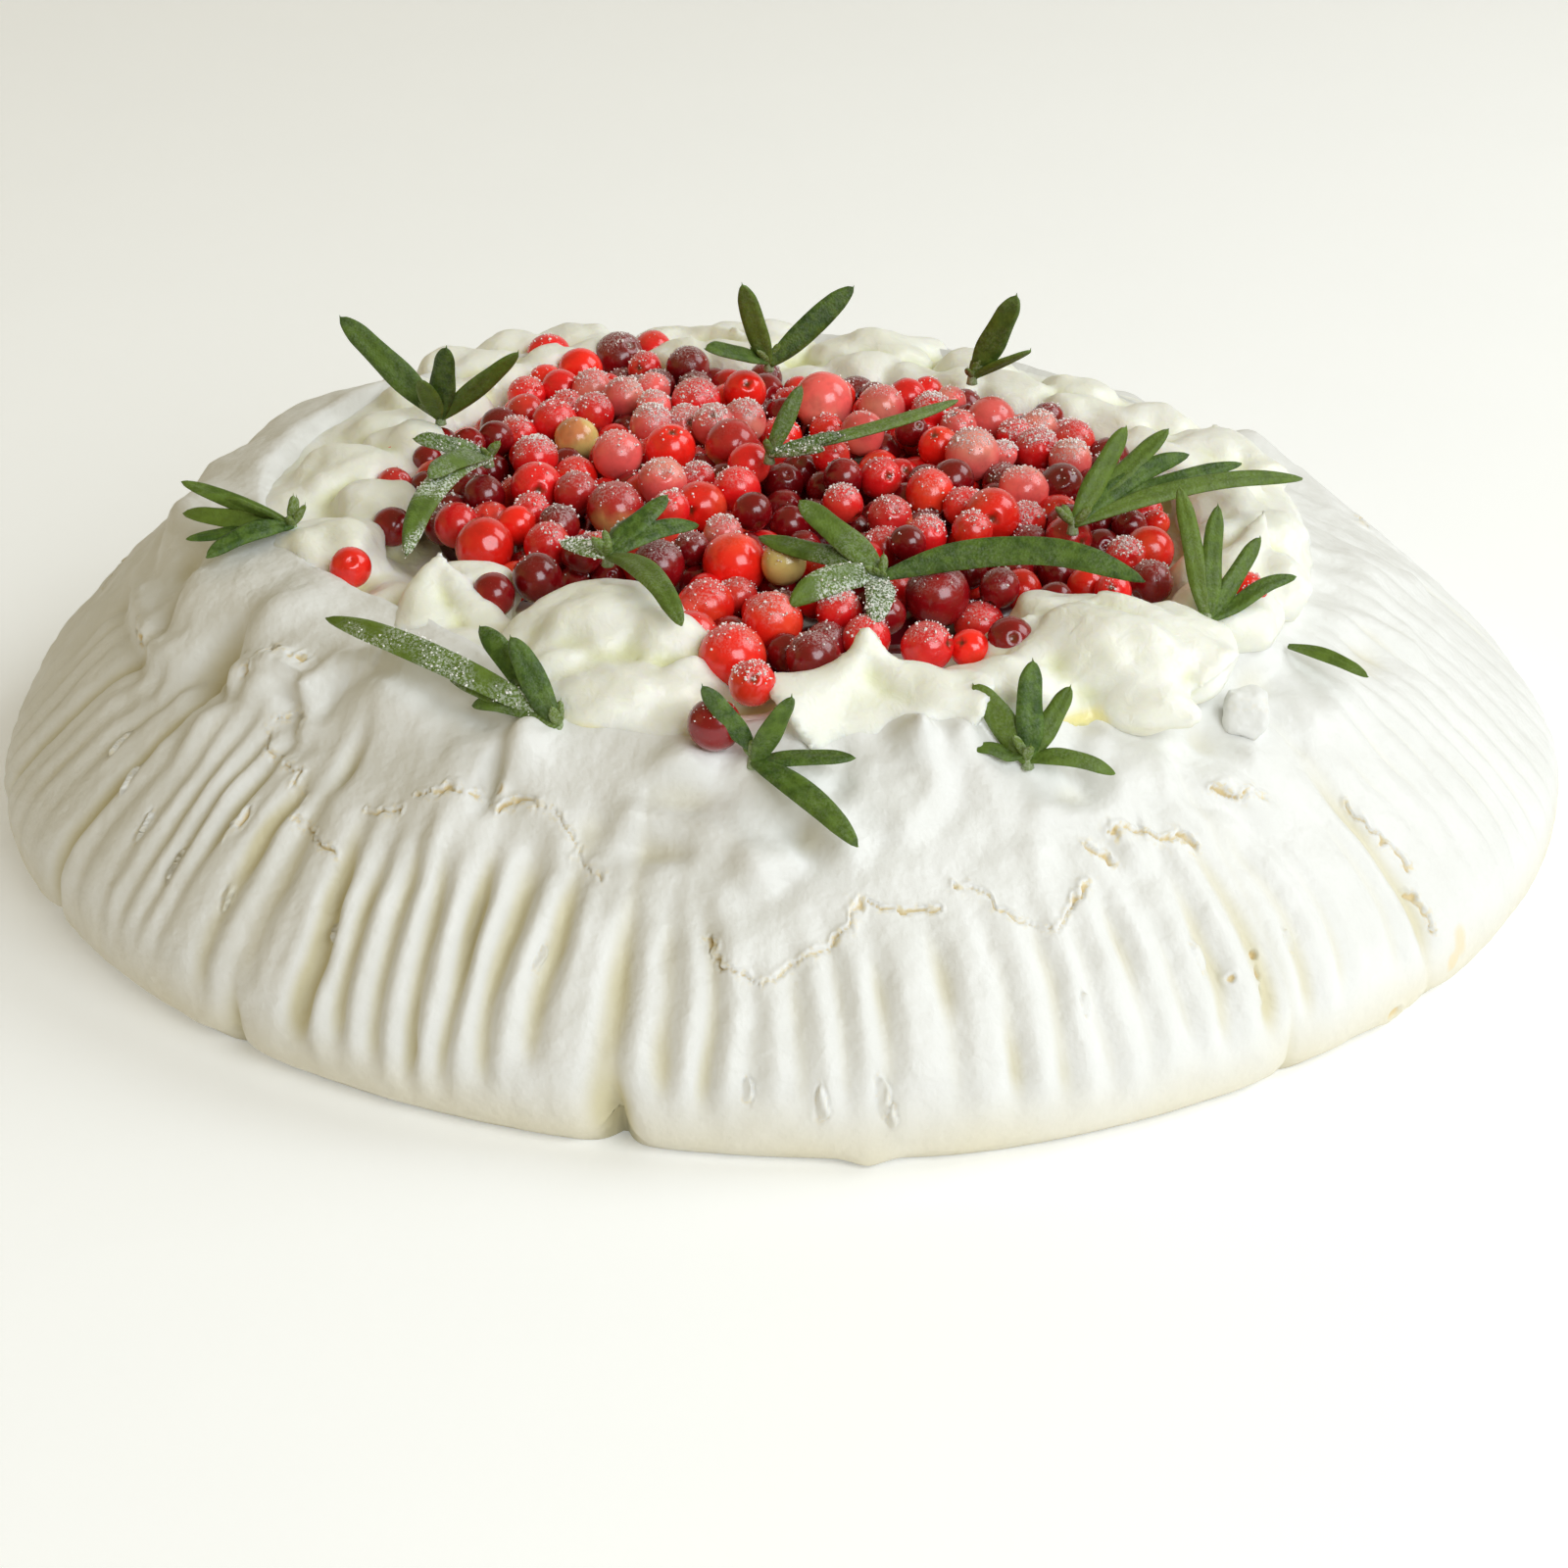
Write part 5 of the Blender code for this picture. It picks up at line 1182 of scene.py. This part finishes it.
def leaf_solid(stations, across, width, thick, rng, around=18, rows=34, tilt=22.0):
    """A needle leaf with edges rolled down, a groove along the top and a pale channel below."""
    keys = np.array([0, 0.28, 0.66, 1.0])
    ts = np.linspace(0, 1, rows)
    path = np.stack([curve_through(ts, keys, stations[:, k]) for k in range(3)], 1)
    step = np.gradient(path, axis=0)
    step /= np.linalg.norm(step, axis=1, keepdims=True)
    phase, sway = rng.uniform(0, 6.3), rng.uniform(-0.35, 0.35)
    path = path + across * (sway * np.sin(ts * math.pi * 1.3 + phase))[:, None] * width / 4
    verts, under, mid = [], [], []
    steep = 0.85 * float(smooth(0.45, 0.65, step[:, 2].mean()))
    twist = rng.uniform(-0.3, 0.3)
    for t, p, q in zip(ts, path, step):
        half = width / 2 * (0.30 + 0.70 * math.sin(math.pi / 2 * min(1, t / 0.42)) ** 0.9) * (1 - 0.34 * max(0.0, (t - 0.42) / 0.58) ** 1.5) * math.sqrt(max(0.0, 1 - max(0.0, (t - 0.80) / 0.20) ** 1.6) + 0.010)
        half *= 1 + 0.035 * math.sin(11 * t + phase)
        side = np.cross((0, 0, 1.0), q)
        if np.linalg.norm(side) < 0.35:
            side = across
        side = side / np.linalg.norm(side)
        if steep > 0:
            # a steep leaf shows its top to the front
            flat = np.array((1.0, 0, 0)) - q[0] * q
            flat /= np.linalg.norm(flat)
            if np.cross(q, flat) @ (0, -1.0, 0.5) < 0:
                flat = -flat
            if flat @ side < 0:
                side = -side
            side = side + (flat - side) * steep
            side = side / np.linalg.norm(side)
        up = np.cross(q, side)
        turn = twist * t + math.radians(tilt) * side[1]
        c, s = math.cos(turn), math.sin(turn)
        side, up = side * c + up * s, up * c - side * s
        deep = thick * (0.45 + 0.55 * half / (width / 2))
        # a leaf that is turned on its edge stands a little higher, so that the edge stays off what is below
        lift = half * abs(math.sin(turn)) * 0.7
        for k in range(around):
            a = 2 * math.pi * k / around
            x, y = math.cos(a), math.sin(a)
            if y >= 0:
                h = deep * (0.66 * (1 - abs(x) ** 3.2) + 0.16) - deep * 0.52 * math.exp(-((x / 0.20) ** 2))
                u = 0.0
            else:
                h = -deep * 0.06 * (1 - x * x) + deep * 0.20 * math.exp(-((x / 0.45) ** 2)) - deep * 0.06
                u = smooth(0.80, 0.58, abs(x)) if abs(x) < 0.80 else 0.0
            verts.append(p + side * (x * half) + up * (h + 0.18) + (0, 0, lift))
            under.append(float(u))
            mid.append(math.exp(-((x / 0.12) ** 2)) if y >= 0 else 0.0)
    n = len(verts)
    verts += [path[0] + (0, 0, 0.3), path[-1] + step[-1] * 0.25 + (0, 0, 0.3)]
    under += [0.3, 0.2]
    mid += [0, 0]
    faces = []
    for j in range(rows - 1):
        for k in range(around):
            m = (k + 1) % around
            faces.append((j * around + k, j * around + m, (j + 1) * around + m, (j + 1) * around + k))
    for k in range(around):
        m = (k + 1) % around
        faces.append((n, m, k))
        faces.append((n + 1, (rows - 1) * around + k, (rows - 1) * around + m))
    return np.array(verts), faces, np.array(under), np.array(mid), path


def rosemary(name, mat, seed):
    corners = points_of(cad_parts[name].data)
    rng = np.random.default_rng(seed)
    leaves = SPRIGS[name][1]
    verts, faces, under, mid, frost, tint, tops = [], [], [], [], [], [], []
    count = 0

    def add(v, f, u, m, fr, ti):
        nonlocal count
        verts.append(v)
        faces.extend(tuple(i + count for i in face) for face in f)
        under.append(u)
        mid.append(m)
        frost.append(fr)
        tint.append(ti)
        count += len(v)

    dust = DUSTED.get(name, (0.04,) * len(leaves))
    tilts = TILTED.get(name, ())
    noise = Noise(seed + 5)
    feet = []
    for number, (leaf, powder) in enumerate(zip(leaves, dust)):
        stations, across = leaf_stations(name, leaf, corners)
        if name == "rosemary_08" and leaf[2] > 30:
            stations[1:3, 2] -= (1.6, 1.2)
        feet.append(stations[0])
        width = LEAF_WIDTH * SLIM.get(name, 0.92) * rng.uniform(0.9, 1.05) * (0.82 if leaf[2] < 13 else 1.0)
        v, f, u, m, path = leaf_solid(stations, across, width, LEAF_THICK * rng.uniform(0.55, 0.72), rng,
                                      tilt=tilts[number] if number < len(tilts) else rng.uniform(12, 42))
        patch = smooth(0.1, 0.6, 0.5 + 0.8 * noise(v, 4.0)) * powder
        add(v, f, u, m, np.clip(patch * (1 - u), 0, 1), np.clip(rng.uniform(0, 0.7) + 0.25 * noise(v, 9.0), 0, 1))
        tops.append((path, width, powder))
    if len(leaves) > 1:
        # the bit of stem that the leaves grow from, with a few tiny new leaves
        foot = np.mean(feet, 0)
        ts = np.linspace(0, 1, 7)
        ring = []
        for t in ts:
            r = 0.95 - 0.4 * t
            for k in range(12):
                a = math.pi * k / 6
                ring.append(foot + (r * math.cos(a) * (1 + 0.1 * math.sin(3 * a)), r * math.sin(a), -1.1 + 2.4 * t))
        n = len(ring)
        ring += [foot + (0, 0, -1.3), foot + (0, 0, 1.5)]
        f = [(j * 12 + k, j * 12 + (k + 1) % 12, (j + 1) * 12 + (k + 1) % 12, (j + 1) * 12 + k) for j in range(6) for k in range(12)]
        f += [(n, (k + 1) % 12, k) for k in range(12)] + [(n + 1, 72 + k, 72 + (k + 1) % 12) for k in range(12)]
        v = np.array(ring)
        add(v, f, np.full(len(v), 0.55), np.zeros(len(v)), np.full(len(v), 0.2), np.full(len(v), 0.9))
        for k in range(4):
            a, e = rng.uniform(0, 2 * math.pi), rng.uniform(0.6, 1.2)
            way = np.array((math.cos(a) * math.cos(e), math.sin(a) * math.cos(e), math.sin(e)))
            reach = rng.uniform(2.6, 5.0)
            st = np.array([foot + way * reach * s + (0, 0, 1.2) for s in (0, 0.28, 0.66, 1.0)]) - (0, 0, 0.8)
            v, f, u, m, _ = leaf_solid(st, np.array((-math.sin(a), math.cos(a), 0)), 1.4, 0.6, rng, 10, 12)
            add(v, f, u, m, np.full(len(v), 0.15), np.full(len(v), 0.85))
    obj = make(name.replace("rosemary", "sprig") + "_leaves", np.concatenate(verts), faces, mat,
               {"under": np.concatenate(under), "midrib": np.concatenate(mid), "frost": np.concatenate(frost), "tint": np.concatenate(tint)})
    return obj, tops


# ---------------------------------------------------------------- sugar

GRAIN = np.array([(1, 0, 0), (-1, 0, 0), (0, 1, 0), (0, -1, 0), (0, 0, 1), (0, 0, -1)], float)
GRAIN_FACES = [(0, 2, 4), (2, 1, 4), (1, 3, 4), (3, 0, 4), (2, 0, 5), (1, 2, 5), (3, 1, 5), (0, 3, 5)]


class Sugar:
    def __init__(self):
        self.spots, self.sizes = [], []

    def on_mesh(self, obj, count, rng, key="frost", least=0.08):
        """Grains on the parts of a mesh that its sugar attribute marks."""
        mesh = obj.data
        points, normals = points_of(mesh), normals_of(mesh)
        values = np.empty(len(points), np.float32)
        mesh.attributes[key].data.foreach_get("value", values)
        weight = np.where(values > least, values.astype(float) ** 1.3, 0) * np.clip(normals[:, 2] + 0.25, 0, 1)
        if weight.sum() <= 0:
            return
        pick = rng.choice(len(points), count, p=weight / weight.sum())
        jitter = rng.normal(size=(count, 3)) * 0.42
        n = normals[pick]
        jitter -= n * (jitter * n).sum(1, keepdims=True)
        size = rng.uniform(0.09, 0.26, count) * (0.6 + 0.7 * rng.random(count) ** 3)
        self.spots.append(points[pick] + jitter + n * size[:, None] * 0.35)
        self.sizes.append(size)

    def finish(self, mat, rng):
        spots, sizes = np.concatenate(self.spots), np.concatenate(self.sizes)
        n = len(spots)
        q = rng.normal(size=(n, 4))
        q /= np.linalg.norm(q, axis=1, keepdims=True)
        w, x, y, z = q.T
        turn = np.stack([np.stack([1 - 2 * (y * y + z * z), 2 * (x * y - z * w), 2 * (x * z + y * w)], 1),
                         np.stack([2 * (x * y + z * w), 1 - 2 * (x * x + z * z), 2 * (y * z - x * w)], 1),
                         np.stack([2 * (x * z - y * w), 2 * (y * z + x * w), 1 - 2 * (x * x + y * y)], 1)], 1)
        stretch = rng.uniform(0.7, 1.3, (n, 1, 3))
        local = GRAIN[None] * stretch * sizes[:, None, None]
        verts = np.einsum("nij,nkj->nki", turn, local) + spots[:, None]
        faces = (np.array(GRAIN_FACES)[None] + 6 * np.arange(n)[:, None, None]).reshape(-1, 3)
        return make("sugar_grains", verts.reshape(-1, 3), faces, mat, flat=True)


# ---------------------------------------------------------------- the stage

def stage():
    floor_mat = floor_material()
    bm = bmesh.new()
    # a pale floor that turns up into a backdrop far behind
    profile = [(-1.6, 0.0)] + [(y, 0.0) for y in np.linspace(-1.2, 1.4, 8)]
    profile += [(1.4 + 0.6 * math.sin(a), 0.6 - 0.6 * math.cos(a)) for a in np.linspace(0.1, math.pi / 2, 12)] + [(2.0, 2.4)]
    rows = [[bm.verts.new((x, y, z)) for y, z in profile] for x in np.linspace(-2.4, 2.4, 5)]
    for one, two in zip(rows, rows[1:]):
        for i in range(len(profile) - 1):
            bm.faces.new((one[i], two[i], two[i + 1], one[i + 1]))
    mesh = bpy.data.meshes.new("floor")
    bm.to_mesh(mesh)
    bm.free()
    mesh.shade_smooth()
    mesh.materials.append(floor_mat)
    floor = bpy.data.objects.new("floor", mesh)
    bpy.context.scene.collection.objects.link(floor)
    floor.location.z = CENTRE[2] * MM - 0.0002


def area(name, at, aim, size, watts, colour):
    light = bpy.data.lights.new(name, "AREA")
    light.shape = "RECTANGLE"
    light.size, light.size_y = size
    light.energy = watts
    light.color = colour
    obj = bpy.data.objects.new(name, light)
    obj.location = at
    obj.rotation_euler = (Vector(aim) - Vector(at)).to_track_quat("-Z", "Y").to_euler()
    bpy.context.scene.collection.objects.link(obj)


def lights():
    area("window_right", (0.95, 0.12, 0.85), (0.0, 0.0, 0.03), (0.8, 0.7), 7.4, (0.88, 0.945, 1.0))
    area("front_soft", (0.60, -1.05, 0.75), (0.0, 0.0, 0.02), (0.9, 0.7), 12.2, (0.87, 0.935, 1.0))
    area("left_warm", (-1.1, -0.3, 0.45), (0.0, 0.0, 0.02), (0.8, 0.6), 0.35, (1.0, 0.66, 0.12))
    world = bpy.data.worlds.new("room")
    world.use_nodes = True
    back = world.node_tree.nodes["Background"]
    back.inputs["Color"].default_value = (1.0, 0.82, 0.38, 1)
    back.inputs["Strength"].default_value = 0.30
    bpy.context.scene.world = world
    bpy.context.scene.view_settings.view_transform = "Standard"
    bpy.context.scene.view_settings.look = "None"


def camera():
    data = bpy.data.cameras.new("camera")
    data.lens, data.sensor_width = 84.825, 36
    data.clip_start = 0.01
    obj = bpy.data.objects.new("camera", data)
    obj.location = (0.0008 + SHIFT[0] * MM, -0.556 + SHIFT[1] * MM, 0.255)
    obj.rotation_euler = (math.radians(65.35), 0, 0)
    bpy.context.scene.collection.objects.link(obj)
    bpy.context.scene.camera = obj


def build():
    camera()
    crust, soft, leafy = meringue_material(), cream_material(), leaf_material()
    done = []

    def add(obj, slot, *nodes):
        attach(obj, "root")
        if nodes:
            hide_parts(*nodes)
        done.append(obj)
        return obj

    add(meringue_skin(crust), "meringue", "meringue")
    add(crumb("crust_crumb", fit((66.7, -68.5, 43.3)), (6.6, 5.2, 7.0), crust, 3), "meringue")
    add(cream_skin(soft), "whipped_cream", "cream")

    skins = {"red": berry_material("berry_red"), "dark": berry_material("berry_dark"), "pale": berry_material("berry_pale")}
    group = {"r": "red", "b": "red", "o": "red", "d": "dark", "p": "pale", "y": "pale"}
    bunches = {key: Bunch() for key in skins}
    rng = np.random.default_rng(19)
    toward = np.array((0.1, -0.75, 0.6))
    for centre, diameter, kind, frost in heap_berries():
        aim = toward if rng.random() < 0.16 else None
        bunches[group[kind]].add(centre, diameter, kind, frost, rng, aim)
    sugar = Sugar()
    core = add(heap_shade_core(skins["dark"]), "berry_skin")
    heaps = [add(bunch.finish("berries_" + key, skins[key]), "berry_skin") for key, bunch in bunches.items()]
    for obj in [core] + heaps:
        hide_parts("berry_heap")
    for k, (node, (kind, frost)) in enumerate(LOOSE.items()):
        low, high = node_box(node)
        one = Bunch()
        one.add((low + high) / 2, (high - low)[0], kind, frost, rng, toward if k % 2 == 0 else None)
        heaps.append(add(one.finish("single_" + node, skins[group[kind]]), "berry_skin", node))
    for obj, count in zip(heaps, (5200, 1500, 2600, 0, 0, 60, 120, 0, 50)):
        if count:
            sugar.on_mesh(obj, count, rng)
    for k, name in enumerate(SPRIGS):
        obj, _ = rosemary(name, leafy, 200 + k)
        add(obj, "rosemary_green", name)
        if name in DUSTED:
            sugar.on_mesh(obj, 160, rng, least=0.2)
    add(sugar.finish(sugar_material(), rng), "berry_skin")
    stage()
    lights()


build()
